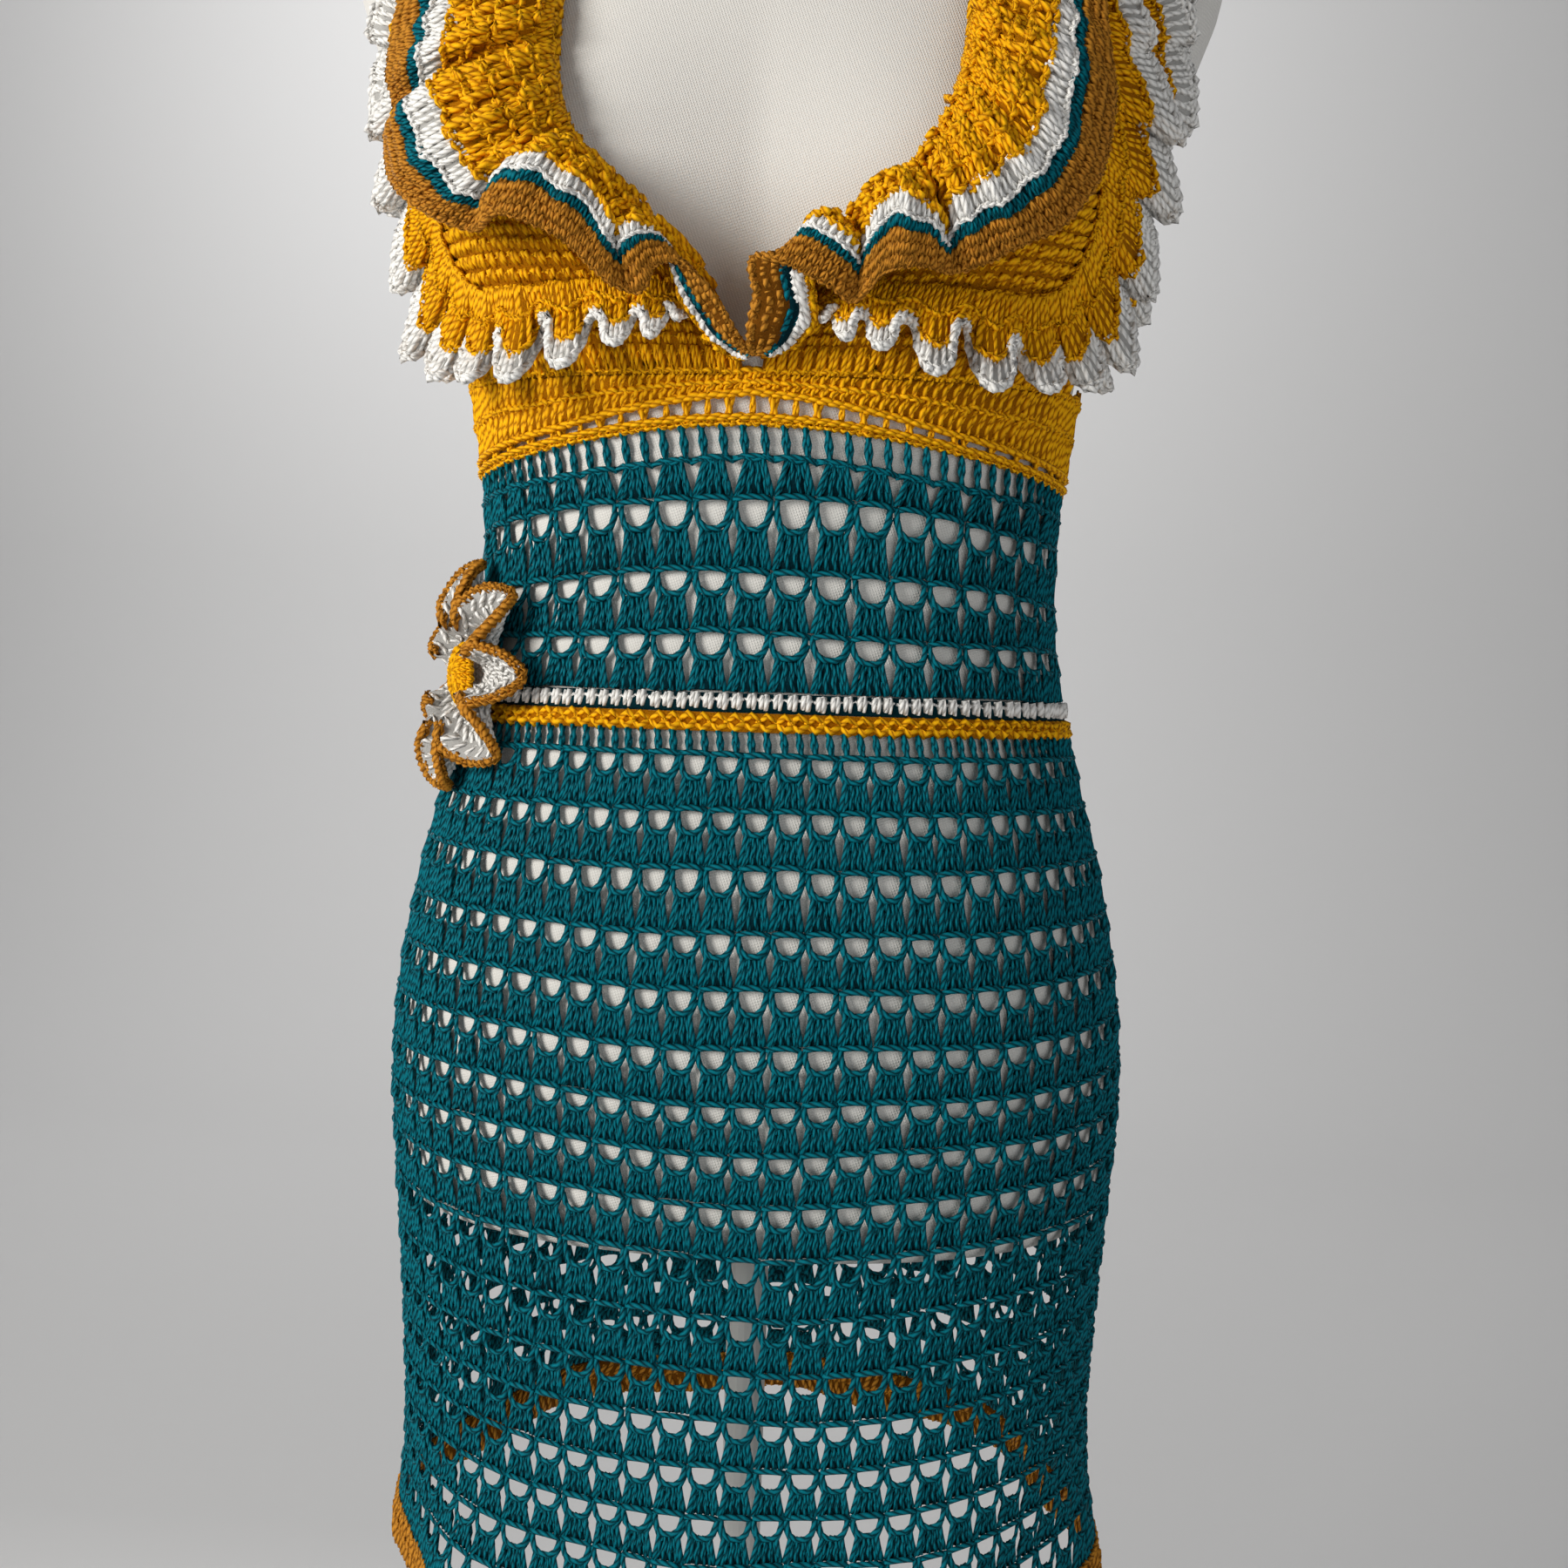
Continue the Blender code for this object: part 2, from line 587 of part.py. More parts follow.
def build_cup(name, side, mustard):
    """One triangular cup, laid on the form from the neckline to the arm edge."""
    inner, outer = [], []
    for r in range(CUP_FINE_ROWS):
        share = r / (CUP_FINE_ROWS - 1)
        row = [evenly(CUP_ROWS, column, share) for column in CupRow._fields]
        neck_deg, neck_z, arm_deg, arm_z = row
        inner.append([])
        outer.append([])
        for c in range(CUP_CROSS_STEPS):
            u = c / (CUP_CROSS_STEPS - 1)
            deg = side * (neck_deg + (arm_deg - neck_deg) * u)
            z = neck_z + (arm_z - neck_z) * u
            floor = band_top(deg) + CUP_BAND_ROOM
            z = floor if r == 0 else max(z, floor)
            inner[-1].append(laid(deg, z, CUP_CLEAR))
            outer[-1].append(laid(deg, z, CUP_CLEAR + CLOTH))
    wall(name, inner, outer, mustard)


def build_strap(mustard):
    """The halter strap from one cup's top, round the back of the neck, to the other."""
    rows = []
    for i in range(2 * STRAP_STEPS + 1):
        share = 1 - abs(i / STRAP_STEPS - 1)
        side = 1 if i <= STRAP_STEPS else -1
        inner_deg, inner_z, outer_deg, outer_z = (
            evenly(STRAP_ROWS, column, share) for column in StrapRow._fields
        )
        clear = CUP_CLEAR + NAPE_CLEAR * share**2
        rows.append([
            (side * (inner_deg + (outer_deg - inner_deg) * u), inner_z + (outer_z - inner_z) * u, clear)
            for u in (0.0, 0.5, 1.0)
        ])
    grids = [
        [[laid(deg, z, clear + thick) for deg, z, clear in row] for row in rows]
        for thick in (0.0, CLOTH)
    ]
    wall("neck_strap", *grids, mustard)


def ruffle_point(ruffle, rows, side, s, t):
    """The middle of a ruffle's cloth at s along its seam and t from the seam to its edge."""
    seam_deg, seam_z, edge_deg, edge_z, lift, wave = (
        between(rows, column, "s", s) for column in RuffleRow._fields[1:]
    )
    turn = 2 * math.pi * ruffle.waves * s
    ripple = wave * math.sin(turn)
    fall = ruffle.drop * wave * (0.5 + 0.5 * math.cos(turn))
    away = ruffle.seam_lift + (lift - ruffle.seam_lift) * t**1.2 + ripple * t**1.5
    deg = seam_deg + (edge_deg - seam_deg) * t
    z = seam_z + (edge_z - seam_z) * t - fall * t**1.5
    return laid(side * deg, z, away)


def build_ruffle_part(name, ruffle, rows, side, finish, start, end, across):
    """A strip of a ruffle from start to end of its width, of even thickness about its middle."""
    inner, outer = [], []
    for i in range(ruffle.steps + 1):
        inner.append([])
        outer.append([])
        for j in range(across + 1):
            s, t = i / ruffle.steps, start + (end - start) * j / across
            ds, dt = 0.25 / ruffle.steps, 0.1
            here = ruffle_point(ruffle, rows, side, s, t)
            low = ruffle_point(ruffle, rows, side, max(s - ds, 0.0), t)
            high = ruffle_point(ruffle, rows, side, min(s + ds, 1.0), t)
            near = ruffle_point(ruffle, rows, side, s, max(t - dt, 0.0))
            far = ruffle_point(ruffle, rows, side, s, min(t + dt, 1.0))
            normal = (far - near).cross(high - low).normalized() * side
            inner[-1].append(here - normal * CLOTH / 2)
            outer[-1].append(here + normal * CLOTH / 2)
    wall(name, inner, outer, finish)


def build_ruffle(name, ruffle, rows, side, main_finish, edge_finish):
    """A ruffle, and the rows of other colours along its edge."""
    half_gap = GAP / ruffle.width
    build_ruffle_part(name, ruffle, rows, side, main_finish,
                      0.0, ruffle.edge_share - half_gap, ruffle.main_steps)
    build_ruffle_part(f"{name}_edge", ruffle, rows, side, edge_finish,
                      ruffle.edge_share + half_gap, 1.0, 1)


def build_flower(ivory, mustard):
    """The appliqué flower: one round of petals, and its centre, on the side at the waist."""
    steps, rings = 5 * FLOWER_PETALS, (0.22, 0.5, 0.78, 1.0)
    hub = around(FLOWER_DEG, FLOWER_Z, BODY_CLEAR + CLOTH)
    faces = math.radians(FLOWER_FACES_DEG)
    out = Vector((math.sin(faces), -math.cos(faces), 0.0))
    across = Vector((0.0, 0.0, 1.0)).cross(out)
    up = Vector((0.0, 0.0, 1.0))

    def petal_point(turn, share, thick):
        lobe = abs(math.cos(0.5 * FLOWER_PETALS * turn)) ** 0.7
        reach = share * (FLOWER_WAIST_R + (FLOWER_R - FLOWER_WAIST_R) * lobe)
        flat = across * (reach * math.cos(turn)) + up * (reach * math.sin(turn))
        place = hub + flat
        deg = math.degrees(math.atan2(place.x, -place.y))
        on_body = around(deg, place.z, BODY_CLEAR + CLOTH)
        depth = (hub - on_body).dot(out)
        follow = 0.55 if depth > 0 else 1.0
        seat = hub + flat - out * depth * follow
        return seat + out * (FLOWER_CLEAR + PETAL_RISE * share**2 * (0.35 + 0.65 * lobe) + thick)

    bm = bmesh.new()
    edges = []
    for thick in (0.0, CLOTH):
        turns = [2 * math.pi * i / steps for i in range(steps)]
        loops = [[bm.verts.new(petal_point(t, share, thick)) for t in turns] for share in rings]
        middle = bm.verts.new(petal_point(0.0, 0.0, thick))
        for i in range(steps):
            n = (i + 1) % steps
            bm.faces.new((middle, loops[0][i], loops[0][n]))
            for a, b in zip(loops, loops[1:]):
                bm.faces.new((a[i], a[n], b[n], b[i]))
        edges.append(loops[-1])
    for i in range(steps):
        n = (i + 1) % steps
        bm.faces.new((edges[0][i], edges[0][n], edges[1][n], edges[1][i]))
    keep("flower_petals", bm, ivory)

    seat = FLOWER_CLEAR + CLOTH + FLOWER_CENTRE_CLEAR
    profile = ((0.0, 1.0), (0.55, 0.95), (1.0, 0.60))
    rings = []
    for up_share, width in profile:
        turns = [2 * math.pi * i / 16 for i in range(16)]
        rings.append([
            hub + out * (seat + up_share * FLOWER_CENTRE_T)
            + (across * math.cos(t) + up * math.sin(t)) * FLOWER_CENTRE_R * width
            for t in turns
        ])
    stack("flower_centre", rings, mustard)


def main():
    """Builds the form, the stand and every piece of the dress."""
    for old in list(bpy.data.objects):
        bpy.data.objects.remove(old)
    jersey = material("jersey", JERSEY, 0.85)
    grey = material("stand_grey", STAND_GREY, 0.45)
    teal = material("teal_cotton", TEAL, 0.9)
    mustard = material("mustard_cotton", MUSTARD, 0.9)
    caramel = material("caramel_cotton", CARAMEL, 0.9)
    ivory = material("ivory_cotton", IVORY, 0.9)

    build_form(jersey, grey)
    build_stand(grey)
    build_body(teal, ivory, mustard, caramel)
    build_bust_band(mustard)
    build_back_trim(caramel)
    build_strap(mustard)
    for side, name, collar_rows in ((1, "left", COLLAR_ROWS_LEFT), (-1, "right", COLLAR_ROWS_RIGHT)):
        build_cup(f"cup_{name}", side, mustard)
        build_ruffle(f"frill_{name}", FRILL, FRILL_ROWS, side, mustard, ivory)
        build_ruffle(f"arm_frill_{name}", ARM_FRILL, ARM_FRILL_ROWS, side, mustard, ivory)
        build_ruffle(f"collar_{name}", COLLAR, collar_rows, side, mustard, caramel)
    build_flower(ivory, mustard)


main()
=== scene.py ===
"""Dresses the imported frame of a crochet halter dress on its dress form.

Metres, +Z up. The dress's front faces -Y and the wearer's left is +X. A place on the form is an
angle round its upright axis, in degrees, 0 at the front and positive towards +X, with a height
above the floor. Each crocheted piece is worked stitch by stitch from yarn on a surface that
repeats the shape of its solid.
"""

import logging
import math
import sys
from collections.abc import Callable, Sequence
from dataclasses import dataclass, field
from enum import Enum

import bpy
import numpy as np
from mathutils import Matrix


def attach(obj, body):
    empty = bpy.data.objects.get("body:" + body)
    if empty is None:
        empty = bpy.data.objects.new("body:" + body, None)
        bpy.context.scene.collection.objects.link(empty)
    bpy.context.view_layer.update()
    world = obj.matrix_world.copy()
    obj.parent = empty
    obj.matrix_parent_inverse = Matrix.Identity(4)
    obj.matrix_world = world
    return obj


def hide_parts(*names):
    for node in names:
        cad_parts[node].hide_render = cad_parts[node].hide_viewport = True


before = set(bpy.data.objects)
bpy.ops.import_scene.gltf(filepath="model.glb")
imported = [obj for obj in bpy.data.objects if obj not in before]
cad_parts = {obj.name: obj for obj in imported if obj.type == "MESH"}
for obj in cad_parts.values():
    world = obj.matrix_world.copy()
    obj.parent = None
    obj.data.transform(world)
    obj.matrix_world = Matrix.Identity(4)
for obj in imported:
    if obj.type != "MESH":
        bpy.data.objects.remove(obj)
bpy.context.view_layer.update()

log = logging.getLogger("dress")
Array = np.ndarray
Place = Callable[[Array, Array], Array]


def smooth_read(keys: Array, values: Array, at: Array) -> Array:
    """Reads a table along a smooth curve through its rows.

    Args:
        keys: Rising places of the rows.
        values: The rows' values.
        at: Places to read.

    Returns:
        The values there.
    """
    last = len(keys) - 1
    at = np.clip(at, keys[0], keys[-1])
    low = np.clip(np.searchsorted(keys, at, side="right") - 1, 0, last - 1)
    span = keys[low + 1] - keys[low]
    u = (at - keys[low]) / span
    before, after = np.maximum(low - 1, 0), np.minimum(low + 2, last)
    slope_0 = (values[low + 1] - values[before]) / (keys[low + 1] - keys[before])
    slope_1 = (values[after] - values[low]) / (keys[after] - keys[low])
    return (
        values[low] * (2 * u**3 - 3 * u**2 + 1)
        + values[low + 1] * (3 * u**2 - 2 * u**3)
        + slope_0 * span * (u**3 - 2 * u**2 + u)
        + slope_1 * span * (u**3 - u**2)
    )


def read_columns(table: Array, columns: Sequence[int], at: Array) -> list[Array]:
    """Reads some columns of a table along smooth curves, by the keys in its first column."""
    return [smooth_read(table[:, 0], table[:, number], at) for number in columns]


def read_even_rows(rows: Array, at: Array) -> list[Array]:
    """Reads all columns of a table whose rows stand at even steps from 0 to 1."""
    keys = np.linspace(0, 1, len(rows))
    return [smooth_read(keys, column, at) for column in rows.T]


def unit(vectors: Array) -> Array:
    """Scales vectors to length 1."""
    return vectors / np.maximum(np.linalg.norm(vectors, axis=-1, keepdims=True), 1e-12)


@dataclass(frozen=True)
class DressForm:
    """The outline of the form, and of the skirt that hangs below it."""

    sections: Array = field(default_factory=lambda: np.array((
        # height, half width, front, back
        (0.600, 0.1530, 0.108, 0.121), (0.640, 0.1500, 0.105, 0.119), (0.665, 0.1480, 0.103, 0.116),
        (0.700, 0.1480, 0.102, 0.115), (0.740, 0.1500, 0.102, 0.115), (0.785, 0.1530, 0.104, 0.117),
        (0.835, 0.1560, 0.107, 0.121), (0.880, 0.1535, 0.107, 0.119), (0.930, 0.1445, 0.103, 0.110),
        (0.980, 0.1315, 0.097, 0.098), (1.020, 0.1230, 0.092, 0.088), (1.050, 0.1205, 0.090, 0.084),
        (1.080, 0.1210, 0.092, 0.085), (1.110, 0.1240, 0.095, 0.089), (1.140, 0.1285, 0.099, 0.095),
        (1.170, 0.1340, 0.102, 0.101), (1.200, 0.1410, 0.104, 0.107), (1.230, 0.1500, 0.102, 0.111),
        (1.260, 0.1640, 0.098, 0.113), (1.300, 0.1780, 0.090, 0.112), (1.340, 0.1840, 0.079, 0.108),
        (1.375, 0.1830, 0.067, 0.101), (1.400, 0.1720, 0.060, 0.093), (1.420, 0.1400, 0.056, 0.085),
        (1.437, 0.1020, 0.053, 0.078), (1.452, 0.0740, 0.050, 0.071), (1.470, 0.0610, 0.048, 0.066),
        (1.500, 0.0570, 0.047, 0.063), (1.525, 0.0570, 0.047, 0.063),
    )))
    fullness: float = 2.2
    bust_deg: float = 39.0
    bust_z: float = 1.187
    bust_out: float = 0.028
    bust_spread: float = 17.0
    bust_rise: float = 0.040
    bust_fall: float = 0.028
    bottom_z: float = 0.785
    top_z: float = 1.525
    rim: float = 0.006
    hem_z: float = 0.638
    hem_dip: float = 0.034
    waves: int = 8
    wave_out: float = 0.0050
    wave_start_z: float = 0.705

    def reach(self, deg: Array, z: Array) -> Array:
        """Distance of the surface from the upright axis.

        Args:
            deg: Angles round the axis.
            z: Heights.

        Returns:
            The distances.
        """
        turn = (deg + 180.0) % 360.0 - 180.0
        side, ahead = np.sin(np.radians(turn)), np.cos(np.radians(turn))
        keys = self.sections[:, 0]
        half = smooth_read(keys, self.sections[:, 1], z)
        front = smooth_read(keys, self.sections[:, 2], z)
        back = smooth_read(keys, self.sections[:, 3], z)
        depth = np.where(ahead > 0, front, back)
        power = np.abs(side / half) ** self.fullness + np.abs(ahead / depth) ** self.fullness
        rise = np.where(z > self.bust_z, self.bust_rise, self.bust_fall)
        spread = np.exp(-0.5 * ((np.abs(turn) - self.bust_deg) / self.bust_spread) ** 2)
        bust = self.bust_out * spread * np.exp(-0.5 * ((z - self.bust_z) / rise) ** 2)
        low = np.maximum(0.0, (self.wave_start_z - z) / (self.wave_start_z - self.hem_z))
        wave = self.wave_out * low**1.5 * np.cos(np.radians(self.waves * turn + 30.0))
        return power ** (-1 / self.fullness) + bust + wave

    def around(self, deg: Array, z: Array, out: Array | float = 0.0) -> Array:
        """Points on the form, moved out level.

        Args:
            deg: Angles round the axis.
            z: Heights.
            out: How far they are moved out.

        Returns:
            The points.
        """
        deg, z = np.broadcast_arrays(deg, z)
        reach = self.reach(deg, z) + out
        turn = np.radians(deg)
        return np.stack((reach * np.sin(turn), -reach * np.cos(turn), z), axis=-1)

    def laid(self, deg: Array, z: Array, out: Array | float = 0.0) -> Array:
        """Points on the form, moved out square to its surface.

        Args:
            deg: Angles round the axis.
            z: Heights.
            out: How far they are moved out.

        Returns:
            The points.
        """
        along = self.around(deg + 0.5, z) - self.around(deg - 0.5, z)
        up = self.around(deg, z + 0.001) - self.around(deg, z - 0.001)
        out = np.broadcast_to(out, np.shape(deg))[..., None]
        return self.around(deg, z) + unit(np.cross(along, up)) * out

    def even_turns(self, z: float) -> Callable[[Array], Array]:
        """Angles that lie evenly along the girth at one height.

        Args:
            z: Height of the girth.

        Returns:
            A function from the share of the girth, 0.5 at the front, to the angle.
        """
        degs = np.linspace(-180.0, 180.0, 721)
        rim = self.around(degs, np.full_like(degs, z))
        steps = np.linalg.norm(np.diff(rim, axis=0), axis=1)
        share = np.concatenate(((0.0,), np.cumsum(steps))) / steps.sum()
        return lambda at: np.interp(at % 1.0, share, degs) + 360.0 * np.floor(at)

    def hem(self, deg: Array) -> Array:
        """Height of the hem, which hangs lower in front."""
        return self.hem_z - self.hem_dip * (0.5 + 0.5 * np.cos(np.radians(deg)))


@dataclass(frozen=True)
class Seams:
    """Heights and clearances of the dress's seams."""

    hem_trim: float = 0.020
    gold_z: float = 0.9890
    white_z: float = 0.9965
    top_z: float = 1.0040
    bust_z: float = 1.1045
    bust_dip: float = 0.014
    band_top_z: float = 1.1245
    band_end: float = 87.0
    scoop_start: float = 88.0
    scoop_depth: float = 0.040
    side_rise: float = 0.030
    side_rise_deg: float = 22.0
    trim_width: float = 0.017
    cloth: float = 0.0026
    gap: float = 0.0003
    body_clear: float = 0.0008
    cup_clear: float = 0.0018
    seam_room: float = 0.0016
    nape_clear: float = 0.0024

    @property
    def body_mid(self) -> float:
        """Distance of the middle of the body's cloth from the form."""
        return self.body_clear + 0.5 * self.cloth

    @property
    def cup_mid(self) -> float:
        """Distance of the middle of a cup's cloth from the form."""
        return self.cup_clear + 0.5 * self.cloth

    def bust_seam(self, deg: Array) -> Array:
        """Height of the seam under the bust, lower at the sides."""
        turn = np.minimum(np.abs((deg + 180.0) % 360.0 - 180.0), self.scoop_start)
        return self.bust_z - self.bust_dip * np.sin(np.radians(turn)) ** 2

    def back_edge(self, deg: Array) -> Array:
        """Height of the body's top edge, which dips across the open back."""
        turn = np.abs((deg + 180.0) % 360.0 - 180.0)
        share = np.clip((turn - self.scoop_start) / (180.0 - self.scoop_start), 0.0, 1.0)
        return self.bust_seam(deg) - self.scoop_depth * np.sin(0.5 * math.pi * share) ** 2

    def band_top(self, deg: Array) -> Array:
        """Height of the bust band's top edge."""
        return self.band_top_z + 0.006 * (np.abs(deg) / self.band_end) ** 2


FORM = DressForm()
SEAMS = Seams()


class Value:
    """A number in a shader that reads as Python arithmetic."""

    def __init__(self, graph: "Graph", socket: bpy.types.NodeSocket) -> None:
        """Wraps one output socket of a graph."""
        self.graph, self.socket = graph, socket

    def math(self, operation: str, *others: "Value | float") -> "Value":
        """Adds one Math node.

        Args:
            operation: What the node does.
            others: The node's further numbers.

        Returns:
            The result.
        """
        return self.graph.node("ShaderNodeMath", {"operation": operation},
                               dict(enumerate((self, *others))))

    def __add__(self, other: "Value | float") -> "Value":
        """Adds."""
        return self.math("ADD", other)

    def __sub__(self, other: "Value | float") -> "Value":
        """Subtracts."""
        return self.math("SUBTRACT", other)

    def __rsub__(self, other: float) -> "Value":
        """Subtracts this from a number."""
        return self.math("MULTIPLY", -1.0) + other

    def __mul__(self, other: "Value | float") -> "Value":
        """Multiplies."""
        return self.math("MULTIPLY", other)

    def __pow__(self, other: float) -> "Value":
        """Raises to a power."""
        return self.math("POWER", other)

    __radd__, __rmul__ = __add__, __mul__

    def sine(self) -> "Value":
        """The sine."""
        return self.math("SINE")

    def size(self) -> "Value":
        """The number without its sign."""
        return self.math("ABSOLUTE")


class Graph:
    """The node tree of one material."""

    gloss = 0.07
    sheen_roughness = 0.5

    def __init__(self, name: str) -> None:
        """Makes the material with its shader."""
        self.material = bpy.data.materials.new(name)
        self.material.use_nodes = True
        self.tree = self.material.node_tree
        self.shader = self.tree.nodes["Principled BSDF"]

    def node(self, kind: str, settings: dict | None = None, sockets: dict | None = None,
             output: int | str = 0) -> Value:
        """Adds any node.

        Args:
            kind: The node's type.
            settings: Attributes that are set first.
            sockets: Values or links of its inputs, by name or number.
            output: The output that is wanted.

        Returns:
            That output.
        """
        made = self.tree.nodes.new(kind)
        for key, value in (settings or {}).items():
            setattr(made, key, value)
        for key, value in (sockets or {}).items():
            self.put(made.inputs[key], value)
        return Value(self, made.outputs[output])

    def put(self, socket: bpy.types.NodeSocket, value: object) -> None:
        """Links a value to an input or sets it there."""
        if isinstance(value, Value):
            self.tree.links.new(value.socket, socket)
        else:
            socket.default_value = value

    def mix(self, share: Value | float, first: object, second: object) -> Value:
        """Mixes two colours.

        Args:
            share: How much of the second.
            first: A colour or a link.
            second: A colour or a link.

        Returns:
            The colour.
        """
        return self.node("ShaderNodeMix", {"data_type": "RGBA"},
                         {0: share, 6: first, 7: second}, 2)

    def noise(self, where: Value, scale: float, detail: float = 3.0) -> Value:
        """Cloudy noise from 0 to 1 at a place."""
        return self.node("ShaderNodeTexNoise", None,
                         {"Vector": where, "Scale": scale, "Detail": detail})

    def place(self) -> Value:
        """The place on the object."""
        return self.node("ShaderNodeTexCoord", output="Object")

    def part(self, vector: Value, number: int) -> Value:
        """One of a vector's three numbers."""
        return self.node("ShaderNodeSeparateXYZ", None, {0: vector}, number)

    def finish(self, colour: Value, roughness: Value | float, height: Value, depth: float,
               sheen: float = 0.0) -> bpy.types.Material:
        """Feeds the shader.

        Args:
            colour: The base colour.
            roughness: The roughness.
            height: The relief from 0 to 1.
            depth: The relief's depth in metres.
            sheen: Weight of the soft sheen of fibres.

        Returns:
            The material.
        """
        bump = self.node("ShaderNodeBump", None,
                         {"Height": height, "Distance": depth, "Strength": 1.0})
        sockets = self.shader.inputs
        self.put(sockets["Base Color"], colour)
        self.put(sockets["Roughness"], roughness)
        self.put(sockets["Normal"], bump)
        sockets["Sheen Weight"].default_value = sheen
        sockets["Sheen Roughness"].default_value = self.sheen_roughness
        sockets["Specular IOR Level"].default_value = self.gloss
        return self.material


def rgba(colour: Sequence[float], shade: float = 1.0) -> tuple[float, ...]:
    """A colour made lighter or darker, with its alpha."""
    return (*[min(part * shade, 1.0) for part in colour], 1.0)


@dataclass(frozen=True)
class YarnFinish:
    """Two-ply cotton yarn: painted highlights on the ply ridges, painted shade in the grooves and a
    light fuzz.

    Attributes:
        name: Name of the material.
        slot: The record's material slot; not used.
        colour: The yarn's own colour.
        groove_shade: How dark the painted shade in the grooves between the plies is.
        light: How bright the painted highlight on the ridges is.
        patch: How strongly the dye is uneven.
        fibre_scale: Fineness of the fibres.
        core_scale: Fineness of the fibres of the cloth behind the stitches.
        patch_scale: Fineness of the uneven dye.
        relief: Depth of the plies, in metres.
    """

    name: str
    slot: str
    colour: tuple[float, float, float]
    groove_shade: float
    light: float
    patch: float = 0.16
    fibre_scale: float = 2600.0
    core_scale: float = 1800.0
    patch_scale: float = 75.0
    relief: float = 0.0005

    def make(self) -> bpy.types.Material:
        """Makes the yarn's material, which follows the strand's own map."""
        graph = Graph(self.name)
        where = graph.place()
        strand = graph.node("ShaderNodeUVMap", {"uv_map": "strand"})
        around, along = graph.part(strand, 0), graph.part(strand, 1)
        ply = ((around * 2.0 + along) * math.pi).sine().size() ** 0.8
        fibre = graph.noise(where, self.fibre_scale)
        patch = graph.noise(where, self.patch_scale)
        relief = ply * 0.8 + fibre * 0.2
        # painted shade: the grooves between the plies take the yarn's deepened colour
        deep = graph.mix(ply, rgba(self.shade(), self.groove_shade), rgba(self.colour))
        # painted highlight: the ply crests are brighter than the yarn's own colour
        lit = graph.mix((ply**3) * fibre, deep, rgba(self.colour, self.light))
        blot = graph.mix(patch * self.patch * 2.0, lit, rgba(self.shade(), 0.62))
        return graph.finish(blot, 0.74 - fibre * 0.2, relief, self.relief)

    def shade(self) -> tuple[float, ...]:
        """The yarn's colour deep between its plies, where light bounces from yarn to yarn."""
        return tuple(part**1.3 for part in self.colour)

    def core(self) -> bpy.types.Material:
        """Makes the material of the closed cloth behind the stitches: the yarn's colour darkened
        all over, painted shade of the stitches.
        """
        graph = Graph(f"{self.name}_core")
        fibre = graph.noise(graph.place(), self.core_scale)
        # painted shade: the whole cloth is darker than the yarn
        colour = graph.mix(fibre, rgba(self.shade(), 0.6 * self.groove_shade), rgba(self.shade(), 0.5))
        return graph.finish(colour, 0.95, fibre, self.relief)


@dataclass(frozen=True)
class JerseyFinish:
    """Pale cotton jersey with fine knitted ribs."""

    name: str = "jersey_cover"
    colour: tuple[float, float, float] = (0.80, 0.776, 0.728)
    rib: float = 0.0011
    slant: float = 0.35
    fibre_scale: float = 2200.0
    slub_scale: float = 38.0
    relief: float = 0.0003
    sheen: float = 0.18

    def make(self) -> bpy.types.Material:
        """Makes the jersey's material."""
        graph = Graph(self.name)
        where = graph.place()
        wave = 2 * math.pi / self.rib
        x, z = graph.part(where, 0), graph.part(where, 2)
        wales = ((x * wave) + (z * wave * self.slant)).sine() * 0.5 + 0.5
        courses = ((z * wave) - (x * wave * self.slant)).sine() * 0.5 + 0.5
        fibre = graph.noise(where, self.fibre_scale)
        slub = graph.noise(where, self.slub_scale, 4.0)
        relief = wales * courses * 0.6 + fibre * 0.4
        # painted shade and highlight: the rib valleys are darker and the ridges lighter than the
        # jersey
        rib_shaded = graph.mix(relief * 0.7, rgba(self.colour, 0.80), rgba(self.colour, 1.06))
        colour = graph.mix(slub * 0.16, rib_shaded, rgba(self.colour, 0.82))
        return graph.finish(colour, 0.92, relief, self.relief, self.sheen)


@dataclass(frozen=True)
class EnamelFinish:
    """Satin enamel on the stand's metal, with a faint orange peel."""

    name: str = "stand_enamel"
    colour: tuple[float, float, float] = (0.62, 0.62, 0.60)
    peel_scale: float = 420.0
    wear_scale: float = 22.0
    relief: float = 0.00006

    def make(self) -> bpy.types.Material:
        """Makes the enamel's material."""
        graph = Graph(self.name)
        where = graph.place()
        peel = graph.noise(where, self.peel_scale, 2.0)
        wear = graph.noise(where, self.wear_scale, 4.0)
        colour = graph.mix(wear * 0.25, rgba(self.colour), rgba(self.colour, 0.82))
        return graph.finish(colour, wear * 0.22 + 0.26, peel, self.relief)


@dataclass(frozen=True)
class StudioFinish:
    """Plain matt paint of the studio's floor and wall."""

    name: str = "studio_paint"
    colour: tuple[float, float, float] = (0.77, 0.77, 0.77)
    grain_scale: float = 30.0
    relief: float = 0.0001

    def make(self) -> bpy.types.Material:
        """Makes the paint's material."""
        graph = Graph(self.name)
        grain = graph.noise(graph.place(), self.grain_scale)
        colour = graph.mix(grain * 0.05, rgba(self.colour), rgba(self.colour, 0.9))
        return graph.finish(colour, 0.9, grain, self.relief)


class Yarn(Enum):
    """The four yarns of the dress."""

    # the last two numbers are the painted shade in the grooves and the painted highlight on the
    # ridges
    TEAL = YarnFinish("teal_yarn", "teal_cotton", (0.0002, 0.112, 0.146), 0.19, 2.05)
    MUSTARD = YarnFinish("mustard_yarn", "mustard_cotton", (0.96, 0.435, 0.005), 0.35, 1.38)
    CARAMEL = YarnFinish("caramel_yarn", "caramel_cotton", (0.50, 0.215, 0.024), 0.38, 1.40)
    IVORY = YarnFinish("ivory_yarn", "ivory_cotton", (0.90, 0.885, 0.85), 0.72, 1.10)


